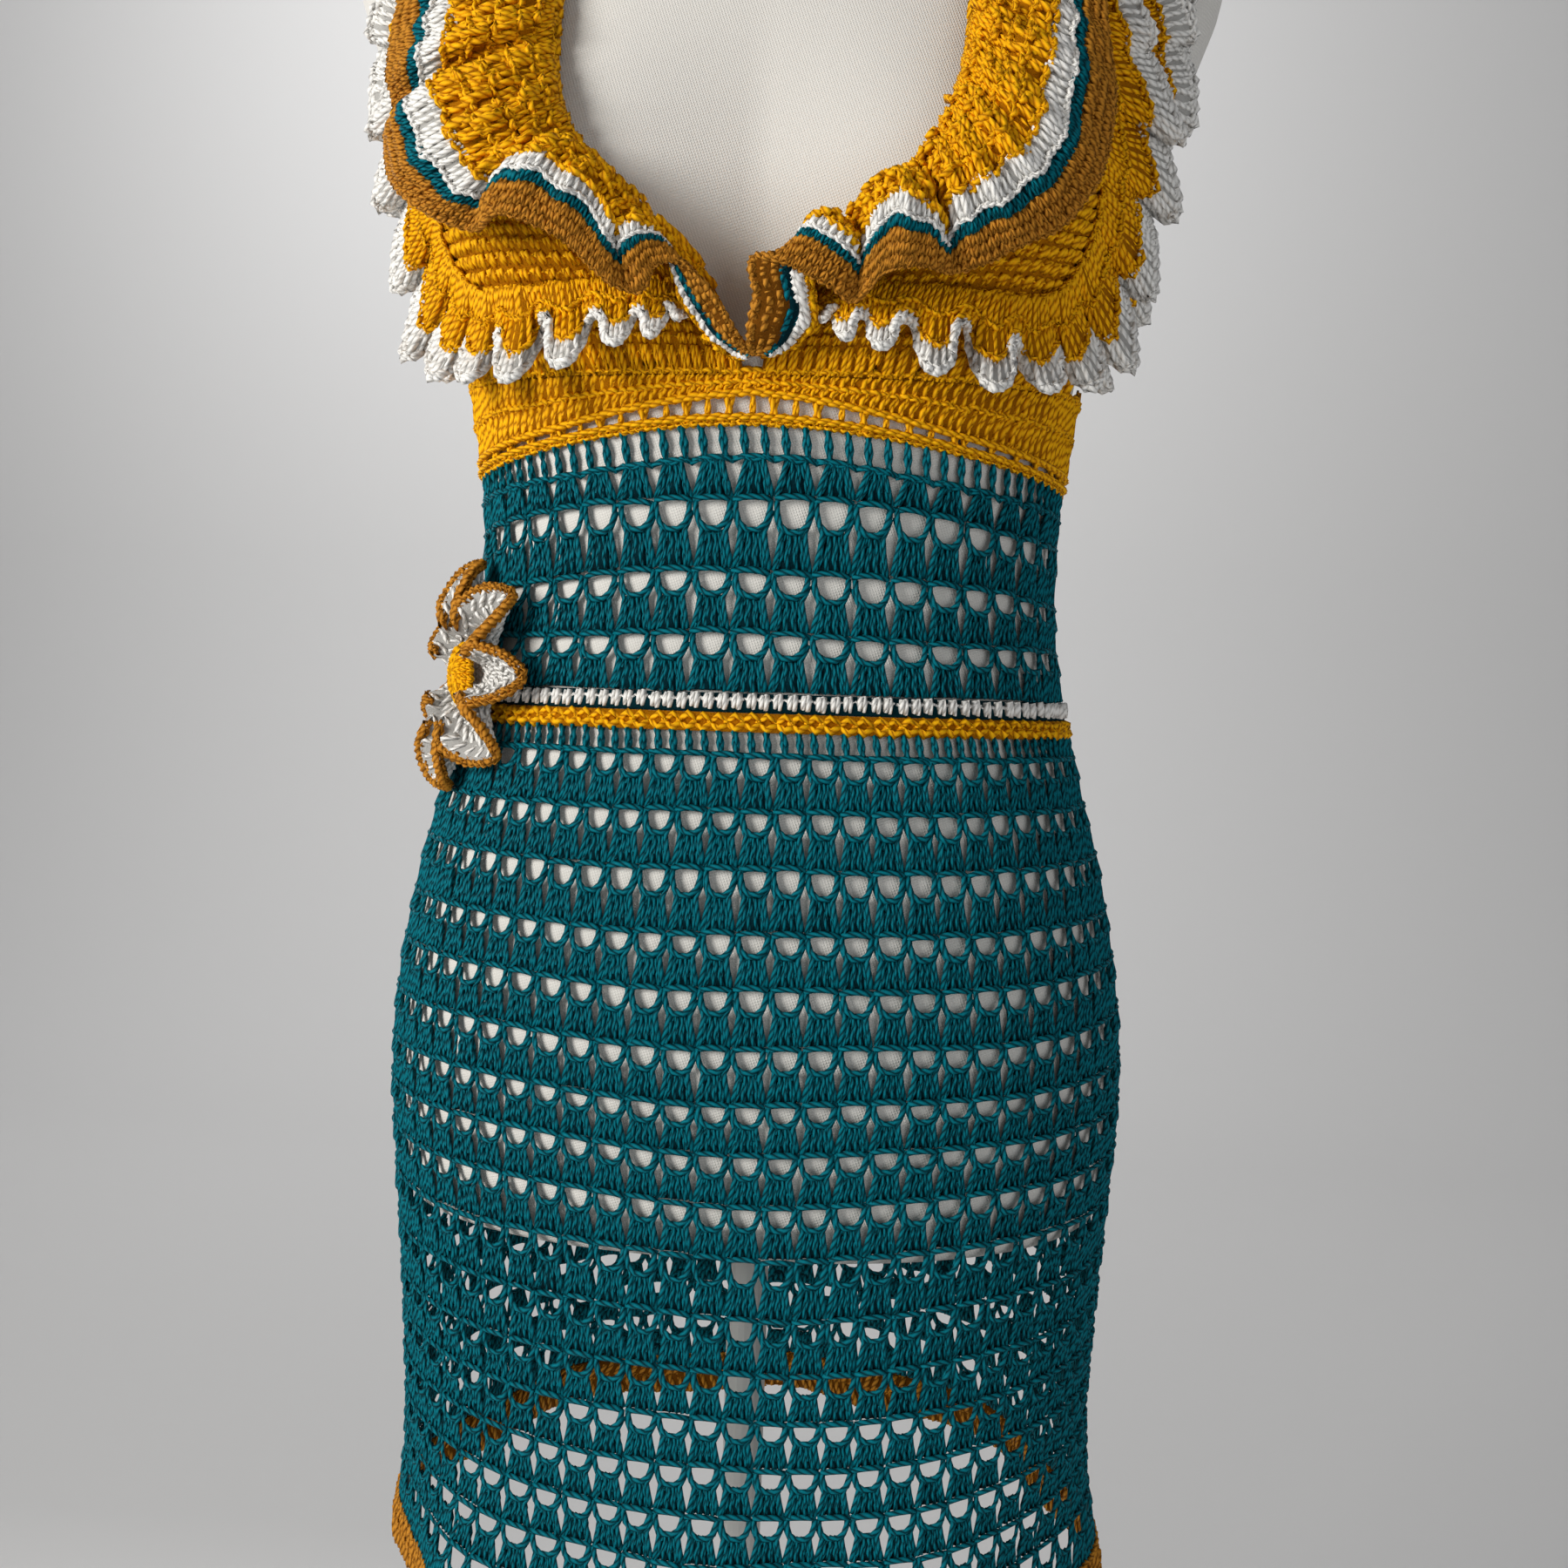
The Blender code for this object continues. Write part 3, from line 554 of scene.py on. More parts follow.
class Materials:
    """Makes each material once and hands it out."""

    def __init__(self) -> None:
        """Starts with no material made."""
        self.made: dict[str, bpy.types.Material] = {}

    def yarn(self, yarn: Yarn) -> bpy.types.Material:
        """The material of a yarn."""
        return self.keep(yarn.name, yarn.value.make)

    def core(self, yarn: Yarn) -> bpy.types.Material:
        """The material of the cloth behind a yarn's stitches, darkened as painted shade."""
        return self.keep(f"{yarn.name}_core", yarn.value.core)

    def keep(self, key: str, make: Callable[[], bpy.types.Material]) -> bpy.types.Material:
        """A material by its key, made at its first use."""
        if key not in self.made:
            self.made[key] = make()
        return self.made[key]


MATERIALS = Materials()


def mesh_piece(name: str, points: Array, faces: Sequence[Array], material: bpy.types.Material,
               strand_map: Array | None = None) -> bpy.types.Object:
    """Writes a mesh to a smooth-shaded object at the origin.

    Args:
        name: Name of the piece.
        points: Points, three numbers each.
        faces: Blocks of faces, each with one number of corners.
        material: The piece's finish.
        strand_map: A place on the yarn for each corner.

    Returns:
        The object.
    """
    mesh = bpy.data.meshes.new(name)
    mesh.vertices.add(len(points))
    mesh.vertices.foreach_set("co", points.astype(np.float32).ravel())
    corners = np.concatenate([block.ravel() for block in faces]).astype(np.int32)
    counts = np.concatenate([np.full(len(block), block.shape[1]) for block in faces])
    starts = np.concatenate(((0,), np.cumsum(counts)[:-1])).astype(np.int32)
    mesh.loops.add(len(corners))
    mesh.loops.foreach_set("vertex_index", corners)
    mesh.polygons.add(len(counts))
    mesh.polygons.foreach_set("loop_start", starts)
    mesh.polygons.foreach_set("use_smooth", np.ones(len(counts), dtype=bool))
    mesh.update(calc_edges=True)
    if strand_map is not None:
        layer = mesh.uv_layers.new(name="strand")
        layer.uv.foreach_set("vector", strand_map.astype(np.float32).ravel())
    mesh.materials.append(material)
    made = bpy.data.objects.new(name, mesh)
    bpy.context.scene.collection.objects.link(made)
    log.info("%s: %d faces", name, len(counts))
    return made


class Skein:
    """Strands of yarn that become one mesh of closed tubes."""

    ply_length = 0.0042

    def __init__(self, seed: int) -> None:
        """Starts an empty skein with its own seed for the small irregularities."""
        self.chance = np.random.RandomState(seed)
        self.points: list[Array] = []
        self.faces: list[Array] = []
        self.maps: list[Array] = []
        self.count = 0

    def lay(self, centres: Array, normals: Array, radius: Array | float, sides: int = 4,
            depth: float = 1.0) -> None:
        """Adds strands of equal numbers of points.

        Args:
            centres: Strands by points by three.
            normals: The cloth's outward direction at each point.
            radius: The yarn's radius.
            sides: Sides of the tube.
            depth: The tube's depth as a share of its width.
        """
        strands, steps = centres.shape[:2]
        along = unit(np.gradient(centres, axis=1))
        across = unit(np.cross(along, normals))
        lift = np.cross(across, along) * depth
        radius = np.broadcast_to(np.asarray(radius, dtype=float), (strands, steps))
        turn, wide = 2 * math.pi * np.arange(sides) / sides, 1.0
        if sides == 3:  # one edge of the triangle lies under the yarn, at its full width
            turn, wide = turn + 0.5 * math.pi, 1 / math.cos(math.pi / 6)
        ring = (
            centres[:, :, None]
            + radius[:, :, None, None] * (
                wide * np.cos(turn)[:, None] * across[:, :, None]
                + np.sin(turn)[:, None] * lift[:, :, None]
            )
        )
        base = self.count + np.arange(strands * steps * sides).reshape(strands, steps, sides)
        here, up = base[:, :-1], base[:, 1:]
        nxt = np.roll(base, -1, axis=2)
        quads = np.stack((here, up, nxt[:, 1:], nxt[:, :-1]), axis=-1).reshape(-1, 4)
        caps = np.concatenate((base[:, 0], base[:, -1, ::-1]))
        lengths = np.linalg.norm(np.diff(centres, axis=1), axis=2)
        run = np.concatenate((np.zeros((strands, 1)), np.cumsum(lengths, axis=1)), axis=1)
        run = run / self.ply_length + self.chance.rand(strands, 1)
        v = np.broadcast_to(run[:, :, None], base.shape)
        u = np.broadcast_to(np.arange(sides) / sides, base.shape)
        left, right, low, high = u[:, :-1], u[:, :-1] + 1 / sides, v[:, :-1], v[:, 1:]
        quad_map = np.stack([
            np.stack(corner, -1)
            for corner in ((left, low), (left, high), (right, high), (right, low))
        ], axis=-2).reshape(-1, 2)
        cap_map = np.concatenate([
            np.stack(end, -1) for end in ((u[:, 0], v[:, 0]), (u[:, -1, ::-1], v[:, -1, ::-1]))
        ]).reshape(-1, 2)
        self.points.append(ring.reshape(-1, 3))
        self.faces += [quads, caps]
        self.maps += [quad_map, cap_map]
        self.count += strands * steps * sides

    def piece(self, name: str, yarn: Yarn, inner: bool = False) -> bpy.types.Object:
        """Makes the skein one piece.

        Args:
            name: Name of the piece.
            yarn: Its yarn.
            inner: Whether it lies inside the stitches, as a strip in the darkened material of
                painted shade.

        Returns:
            The piece, riding on the form.
        """
        # inner strips take the darkened material of painted shade
        dye = MATERIALS.core(yarn) if inner else MATERIALS.yarn(yarn)
        made = mesh_piece(name, np.concatenate(self.points), self.faces, dye,
                          np.concatenate(self.maps))
        made.data.validate()
        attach(made, "root")
        return made


class Surface:
    """A smooth cloth surface over (s, t) from 0 to 1, read between the points of a fine grid."""

    flat_lines = 9
    full_turn = 0.99999

    def __init__(self, place: Place, fine: tuple[int, int], outward: float = 1.0,
                 closed: bool = False) -> None:
        """Samples the surface.

        Args:
            place: Points for arrays of s along the rows and t across them.
            fine: Steps of the grid along s and t.
            outward: 1 where s to t turns outwards, or -1.
            closed: Whether s runs all round.
        """
        self.fine, self.closed = fine, closed
        s, t = np.meshgrid(np.linspace(0, 1, fine[0] + 1), np.linspace(0, 1, fine[1] + 1),
                           indexing="ij")
        self.grid = place(s, t)
        if closed:
            ringed = np.concatenate((self.grid[-2:-1], self.grid, self.grid[1:2]))
            along = np.gradient(ringed, axis=0)[1:-1]
        else:
            along = np.gradient(self.grid, axis=0)
        across = np.gradient(self.grid, axis=1)
        self.normals = unit(np.cross(along, across)) * outward

    def read(self, s: Array, t: Array) -> tuple[Array, Array]:
        """Points and outward directions at places on the cloth.

        Args:
            s: Places along the rows, which wrap where the cloth is closed.
            t: Places across the rows, which may run a little past the edges.

        Returns:
            The points and the directions.
        """
        s = s % 1.0 if self.closed else s
        x, y = s * self.fine[0], t * self.fine[1]
        i = np.clip(np.floor(x).astype(int), 0, self.fine[0] - 1)
        j = np.clip(np.floor(y).astype(int), 0, self.fine[1] - 1)
        u, v = (x - i)[..., None], (y - j)[..., None]
        points, normals = (
            (table[i, j] * (1 - u) + table[i + 1, j] * u) * (1 - v)
            + (table[i, j + 1] * (1 - u) + table[i + 1, j + 1] * u) * v
            for table in (self.grid, self.normals)
        )
        return points, unit(normals)

    def flat(self, t_range: tuple[float, float]) -> tuple[float, float]:
        """Flat length and width of the strip of cloth between two values of t.

        Args:
            t_range: The strip's two edges.

        Returns:
            Its mean length and its width.
        """
        t = np.linspace(*t_range, self.flat_lines)
        s = np.linspace(0.0, self.full_turn if self.closed else 1.0, self.fine[0] + 1)
        points, _ = self.read(*np.meshgrid(s, t, indexing="ij"))
        length = np.linalg.norm(np.diff(points, axis=0), axis=2).sum(axis=0).mean()
        sides = np.cross(np.diff(points, axis=0)[:, :-1], np.diff(points, axis=1)[:-1])
        return float(length), float(np.linalg.norm(sides, axis=2).sum() / length)


def strand(*points: Sequence[float]) -> Array:
    """One strand of a stitch: (across, up, out) with out in metres."""
    return np.array(points, dtype=float)


def twisted(start: Sequence[float], end: Sequence[float], gap: float, depth: float,
            turns: float = 0.5, steps: int = 4, phase: float = 0.0) -> list[Array]:
    """Two strands twisted round the line between two places of a stitch.

    Args:
        start: Where the pair starts, across and up.
        end: Where it ends.
        gap: Half the strands' distance, in stitch widths.
        depth: Half their distance in depth, in metres.
        turns: How often they go round.
        steps: Points of each strand.
        phase: Share of a turn at the start.

    Returns:
        The two strands.
    """
    share = np.linspace(0, 1, steps)
    turn = 2 * math.pi * (turns * share + phase)
    x = start[0] + (end[0] - start[0]) * share
    y = start[1] + (end[1] - start[1]) * share
    return [
        np.stack((x + side * gap * np.cos(turn), y, side * depth * np.sin(turn)), axis=1)
        for side in (1, -1)
    ]


class Stitch(Enum):
    """Patterns of strands in one stitch, by how the stitch is worked."""

    DOUBLE = "double crochet: a twisted post under a chain top"
    TALL = "tall double crochet that slants"
    SINGLE = "single crochet: a short upright V"
    CHAIN = "chain: a flat braid along the row"
    SPREAD = "single crochet seen from its back, on two spread legs"

    def strands(self) -> list[list[Array]]:
        """The stitch's strands, in groups of equal numbers of points."""
        top = strand((-0.58, 0.93, 0.0009), (0.0, 1.03, 0.0013), (0.58, 0.93, 0.0009))
        if self is Stitch.DOUBLE:
            return [twisted((-0.14, -0.06), (0.16, 0.98), 0.24, 0.0007, 0.5), [top]]
        if self is Stitch.TALL:
            return [twisted((-0.42, -0.04), (0.30, 1.0), 0.20, 0.0006, 0.8, 5), [top]]
        if self is Stitch.SINGLE:
            return [[
                strand((-0.30, 0.98, 0.0006), (-0.18, 0.5, 0.0010), (0.0, 0.0, 0.0002)),
                strand((0.36, 0.98, 0.0006), (0.26, 0.5, 0.0010), (0.04, 0.0, 0.0002)),
                strand((-0.5, 0.9, 0.0002), (0.0, 0.99, -0.0002), (0.5, 0.9, 0.0002)),
            ]]
        if self is Stitch.CHAIN:
            return [[
                strand((-0.62, 0.45, -0.0002), (0.0, 0.86, 0.0008), (0.60, 0.55, 0.0004)),
                strand((-0.62, 0.55, -0.0002), (0.0, 0.14, 0.0008), (0.60, 0.45, 0.0004)),
            ]]
        return [[
            strand((-0.05, 0.92, 0.0012), (-0.15, 0.62, 0.0012), (-0.20, 0.22, 0.0002)),
            strand((0.16, 0.96, 0.0010), (0.16, 0.60, 0.0012), (0.14, 0.14, 0.0002)),
            strand((-0.5, 0.70, -0.0002), (0.0, 0.52, 0.0000), (0.5, 0.70, -0.0002)),
        ]]


def worked(skein: Skein, surface: Surface, pattern: Sequence[Array], columns: Array, rows: Array,
           pitch: tuple[float, float], radius: float, loose: tuple[float, float, float],
           sides: int = 4, depth: float = 1.0) -> None:
    """Lays one group of a stitch's strands at many places of a cloth.

    Args:
        skein: Where the strands go.
        surface: The cloth.
        pattern: Strands with equal numbers of points.
        columns: Middle of each stitch, as s.
        rows: Foot of each stitch, as t.
        pitch: Size of a stitch, as s and t.
        radius: The yarn's radius.
        loose: Irregularity across and up, in stitches, and out, in metres.
        sides: Sides of the yarn's tube.
        depth: The tube's depth as a share of its width.
    """
    shape = np.stack(pattern)
    count = len(columns)
    drift = skein.chance.normal(size=(count, 1, 1, 3)) * np.array(loose)
    cells = shape[None] + drift
    s = columns[:, None, None] + cells[..., 0] * pitch[0]
    t = rows[:, None, None] + cells[..., 1] * pitch[1]
    points, normals = surface.read(s, t)
    points = points + normals * cells[..., 2:3]
    steps = shape.shape[1]
    size = radius * (1 + 0.05 * skein.chance.normal(size=(count * len(shape), 1)))
    skein.lay(points.reshape(-1, steps, 3), normals.reshape(-1, steps, 3), size, sides, depth)


@dataclass
class Crochet:
    """A dense strip of crochet: a thin closed cloth with its stitches worked on it.

    Attributes:
        name: Name of the strip.
        surface: The cloth that it is part of.
        rows: Rows of stitches.
        stitches: Stitches in a row.
        stitch: How they are worked.
        yarn: What they are worked from.
        radius: The yarn's radius.
        replaces: Solids that it stands for.
        span: Its two edges across the cloth, as t.
        rests_on: What it lies on; not used.
        held: How the cloth is held; not used.
        turn_rows: Whether every other row slants the other way.
        seed: Seed of its irregularities.
        core: Thickness of the cloth behind the stitches.
        core_steps: Steps of that cloth along and across.
        rim: Width of a braid along the upper edge, as t, or 0.
        loose: Irregularity of the stitches across, up and out.
        sides: Sides of the yarn's tube.
        ground: Yarn whose painted shade colours the cloth behind the stitches, where it is another
            one.
    """

    least_width = 0.01
    least_share = 0.301

    name: str
    surface: Surface
    rows: int
    stitches: int
    stitch: Stitch
    yarn: Yarn
    radius: float
    replaces: tuple[str, ...]
    span: tuple[float, float] = (0.0, 1.0)
    rests_on: tuple[str, ...] = ("form_torso",)
    held: str = "stretched"
    turn_rows: bool = True
    seed: int = 1
    core: float = 0.0010
    core_steps: tuple[int, int] = (96, 3)
    rim: float = 0.0
    loose: tuple[float, float, float] = (0.05, 0.03, 0.00018)
    sides: int = 3
    ground: Yarn | None = None

    def cloth(self) -> bpy.types.Object:
        """Builds the thin closed cloth behind the stitches, coloured in its yarn's painted shade.
        """
        along, across = self.core_steps
        ring = along if self.surface.closed else along + 1
        s = np.arange(ring) / along
        t = np.linspace(*self.span, across + 1)
        points, normals = self.surface.read(*np.meshgrid(s, t, indexing="ij"))
        layers = [points + normals * self.core * side for side in (0.5, -0.5)]
        places = np.concatenate([layer.reshape(-1, 3) for layer in layers])
        front = np.arange(ring * (across + 1)).reshape(ring, across + 1)
        back = front + front.size
        if self.surface.closed:
            front, back = (np.concatenate((side, side[:1])) for side in (front, back))
        flip = self.facing(points, normals)

        def face(a: Array, b: Array, c: Array, d: Array) -> Array:
            """Faces through four corners, turned outwards."""
            order = (a, b, c, d) if flip > 0 else (d, c, b, a)
            return np.stack([part.ravel() for part in order], axis=-1)

        faces = [
            face(front[:-1, :-1], front[1:, :-1], front[1:, 1:], front[:-1, 1:]),
            face(back[:-1, :-1], back[:-1, 1:], back[1:, 1:], back[1:, :-1]),
            face(front[:-1, 0], back[:-1, 0], back[1:, 0], front[1:, 0]),
            face(front[1:, -1], back[1:, -1], back[:-1, -1], front[:-1, -1]),
        ]
        if not self.surface.closed:
            faces += [
                face(front[0, 1:], back[0, 1:], back[0, :-1], front[0, :-1]),
                face(front[-1, :-1], back[-1, :-1], back[-1, 1:], front[-1, 1:]),
            ]
        # the cloth takes the darkened material of painted shade
        made = mesh_piece(f"{self.name}_cloth", places, faces, MATERIALS.core(self.ground or self.yarn))
        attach(made, "root")
        return made

    @staticmethod
    def facing(points: Array, normals: Array) -> float:
        """Whether s to t turns outwards on this cloth: 1, or else -1."""
        along, across = points[1, 0] - points[0, 0], points[0, 1] - points[0, 0]
        return float(np.sign(np.dot(np.cross(along, across), normals[0, 0])))

    def build(self) -> bpy.types.Object:
        """Returns:
            The cloth.
        """
        cloth = self.cloth()
        skein = Skein(self.seed)
        width = 1.0 / self.stitches
        height = (self.span[1] - self.span[0]) / self.rows
        for group in self.stitch.strands():
            for row in range(self.rows):
                turned = self.turn_rows and row % 2
                pattern = [one * (-1.0, 1.0, 1.0) for one in group] if turned else group
                shift = 0.5 + 0.25 * (row % 2) * self.surface.closed
                columns = (np.arange(self.stitches) + shift) * width
                rows = np.full(self.stitches, self.span[0] + row * height)
                worked(skein, self.surface, pattern, columns, rows, (width, height), self.radius,
                       self.loose, self.sides)
        if self.rim:
            columns = (np.arange(self.stitches) + 0.5) * width
            foot = np.full(self.stitches, self.span[1] - 0.6 * self.rim)
            worked(skein, self.surface, Stitch.CHAIN.strands()[0], columns, foot,
                   (width, self.rim), self.radius, self.loose, self.sides)
        stitches = skein.piece(f"{self.name}_stitches", self.yarn)
        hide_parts(*self.replaces)
        length, across = self.surface.flat(self.span)
        width = max(across, self.least_width)
        area = length * max(across, self.least_share * width)
        area if across < width else None
        list(self.rests_on)
        return cloth


@dataclass(frozen=True)
class Strands:
    """Strands with equal numbers of points, and how thick, deep and many-sided they are."""

    shape: list[Array]
    thick: float = 1.0
    depth: float = 1.0
    sides: int = 4


@dataclass(frozen=True)
class FanShade:
    """A dark strip of painted shade inside one fan, in rows up and in columns across.

    Attributes:
        foot: Height of its foot.
        top: Height of its top.
        widths: Half its width at the foot, in the middle and at the top.
        depth: Its depth as a share of its width.
    """

    foot: float
    top: float
    widths: tuple[float, float, float]
    depth: float = 0.10


@dataclass
class NetRows:
    """The open net of the body: pillars and fans under rows of round-bottomed holes.

    Attributes:
        columns: Holes round the body.
        phase: Share of a column by which the holes are turned.
        girth_z: Height of the girth along which the columns lie evenly.
        radius: The yarn's radius.
        loose: Irregularity of the strands across, up and out.
        fan_turns: How often the posts twist.
        post_thick: Thickness of a post, in radii.
        rim_thick: Thickness of a hole's rim, in radii.
        flatness: Depth of the yarn as a share of its width.
        drift: How far the rows stray up and down.
        shade_depth: How far the strip of painted shade inside a fan lies behind its posts.
    """

    columns: int
    phase: float
    girth_z: float
    radius: float = 0.00092
    loose: tuple[float, float, float] = (0.018, 0.012, 0.00015)
    fan_turns: float = 0.8
    post_thick: float = 1.16
    rim_thick: float = 1.30
    flatness: float = 0.75
    drift: float = 0.0009
    shade_depth: float = 0.0002

    def surface(self, low: Callable[[Array], Array], high: Callable[[Array], Array],
                heights: Sequence[float]) -> Surface:
        """The net's cloth, with t in equal steps from row to row.

        Args:
            low: The bottom edge's height for each angle.
            high: The top edge's.
            heights: Heights of the row lines at the centre front, from the bottom edge up.

        Returns:
            The surface.
        """
        turns = FORM.even_turns(self.girth_z)
        levels = np.asarray(heights)
        shares = (levels - levels[0]) / (levels[-1] - levels[0])

        def place(s: Array, t: Array) -> Array:
            """Points of the net."""
            deg = turns(s)
            share = np.interp(t, np.linspace(0, 1, len(shares)), shares)
            z = low(deg) + (high(deg) - low(deg)) * share
            z = z + self.drift * np.sin(np.radians(5 * deg) + 9.0 * t) * np.sin(math.pi * t)
            return FORM.around(deg, z, SEAMS.body_mid)

        return Surface(place, (720, 8 * (len(levels) - 1)), 1.0, True)

    def posts_of_fans(self) -> list[Strands]:
        """The twisted posts of the fan under one hole."""
        posts = []
        for top_x, top_y, foot_x, lean in (
            (-0.185, 0.575, -0.335, 0.3), (-0.065, 0.560, -0.115, 0.1),
            (0.065, 0.560, 0.115, 0.6), (0.185, 0.575, 0.335, 0.8),
        ):
            posts += twisted((foot_x, 0.02), (top_x, top_y), 0.050, 0.0006, self.fan_turns, 4, lean)
        return [Strands(posts, self.post_thick, self.flatness, 3)]

    def cells(self) -> list[Strands]:
        """One hole's bucket, the legs beside the fan under it and the chain over it."""
        bucket = strand((-0.432, 0.97, 0.0004), (-0.422, 0.83, 0.0006), (-0.335, 0.665, 0.0011),
                        (-0.14, 0.570, 0.0014), (0.14, 0.570, 0.0014), (0.335, 0.665, 0.0011),
                        (0.422, 0.83, 0.0006), (0.432, 0.97, 0.0004))
        legs = [
            strand((side * 0.468, 0.82, 0.0), (side * 0.395, 0.69, 0.0004),
                   (side * 0.292, 0.54, 0.0008), (side * 0.340, 0.34, 0.0004),
                   (side * 0.450, 0.02, 0.0))
            for side in (-1, 1)
        ]
        chain = strand((-0.48, 0.955, 0.0004), (-0.25, 0.995, 0.0012), (0.0, 1.005, 0.0014),
                       (0.25, 0.995, 0.0012), (0.48, 0.955, 0.0004))
        return [Strands([bucket], self.rim_thick, self.flatness),
                Strands(legs, self.post_thick, self.flatness),
                Strands([chain], self.rim_thick, 0.7)]

    def tall_fans(self) -> list[Strands]:
        """The posts of a fan with no hole above it."""
        posts = []
        for top_x, foot_x, lean in (
            (-0.15, -0.37, 0.3), (-0.05, -0.13, 0.1), (0.05, 0.13, 0.6), (0.15, 0.37, 0.8),
        ):
            posts += twisted((foot_x, 0.05), (top_x, 0.96), 0.052, 0.0006, self.fan_turns, 4, lean)
        return [Strands(posts, self.post_thick, 0.8, 3)]

    def legs(self) -> list[Strands]:
        """The outer legs of a fan with no hole above it, and the chain over it."""
        sides = [
            strand((side * 0.20, 0.97, 0.0004), (side * 0.30, 0.60, 0.0006),
                   (side * 0.46, 0.03, 0.0))
            for side in (-1, 1)
        ]
        chain = strand((-0.50, 0.95, 0.0002), (-0.25, 1.0, 0.0010), (0.0, 1.02, 0.0012),
                       (0.25, 1.0, 0.0010), (0.50, 0.95, 0.0002))
        return [Strands(sides, 1.1, 0.8), Strands([chain], 1.2)]

    def posts(self, dip: float = 0.12) -> list[Strands]:
        """Two slanted posts at half the holes' distance, over a chain.

        Args:
            dip: How far the chain zigzags down between the posts, in rows.

        Returns:
            The posts and the chain.
        """
        pairs: list[Array] = []
        for x in (-0.25, 0.25):
            pairs += twisted((x + 0.06, -0.03), (x - 0.04, 1.08), 0.055, 0.0007, self.fan_turns,
                             5, 0.1)
        chain = strand((-0.53, -dip, 0.0004), (-0.25, 0.02, 0.0010), (0.0, -dip, 0.0004),
                       (0.25, 0.02, 0.0010), (0.53, -dip, 0.0004))
        return [Strands(pairs, 1.15), Strands([chain], 1.1)]

    def middles(self) -> Array:
        """Middle of each column, as s."""
        return 0.5 + (np.arange(self.columns) + self.phase) / self.columns

    def shade(self, skein: Skein, surface: Surface, fan: FanShade, lines: int,
              rows: Sequence[int]) -> None:
        """Closes the fans behind their posts with dark strips of painted shade.

        Args:
            skein: Where the strips of painted shade go.
            surface: The net's cloth.
            fan: The size of one fan.
            lines: Rows of the whole cloth.
            rows: Which of them have fans.
        """
        levels = np.linspace(fan.foot, fan.top, len(fan.widths))
        for row in rows:
            s = np.repeat(self.middles()[:, None], len(levels), axis=1)
            t = (row + levels)[None] / lines + 0 * s
            points, normals = surface.read(s, t)
            beside, _ = surface.read(s + 0.5 / self.columns, t)
            pitch = 2 * np.linalg.norm(beside - points, axis=2)
            skein.lay(points - normals * self.shade_depth, normals,
                      pitch * np.asarray(fan.widths), 4, fan.depth)

    def work(self, skein: Skein, surface: Surface, groups: Sequence[Strands],
             lines: int, rows: Sequence[int]) -> None:
        """Works rows of one kind of cell into the net.

        Args:
            skein: Where the strands go.
            surface: The net's cloth.
            groups: The cell's strands.
            lines: Rows of the whole cloth.
            rows: Which of them, from the bottom.
        """
        for group in groups:
            for row in rows:
                foot = np.full(self.columns, row / lines)
                worked(skein, surface, group.shape, self.middles(), foot,
                       (1 / self.columns, 1 / lines), self.radius * group.thick, self.loose,
                       group.sides, group.depth)


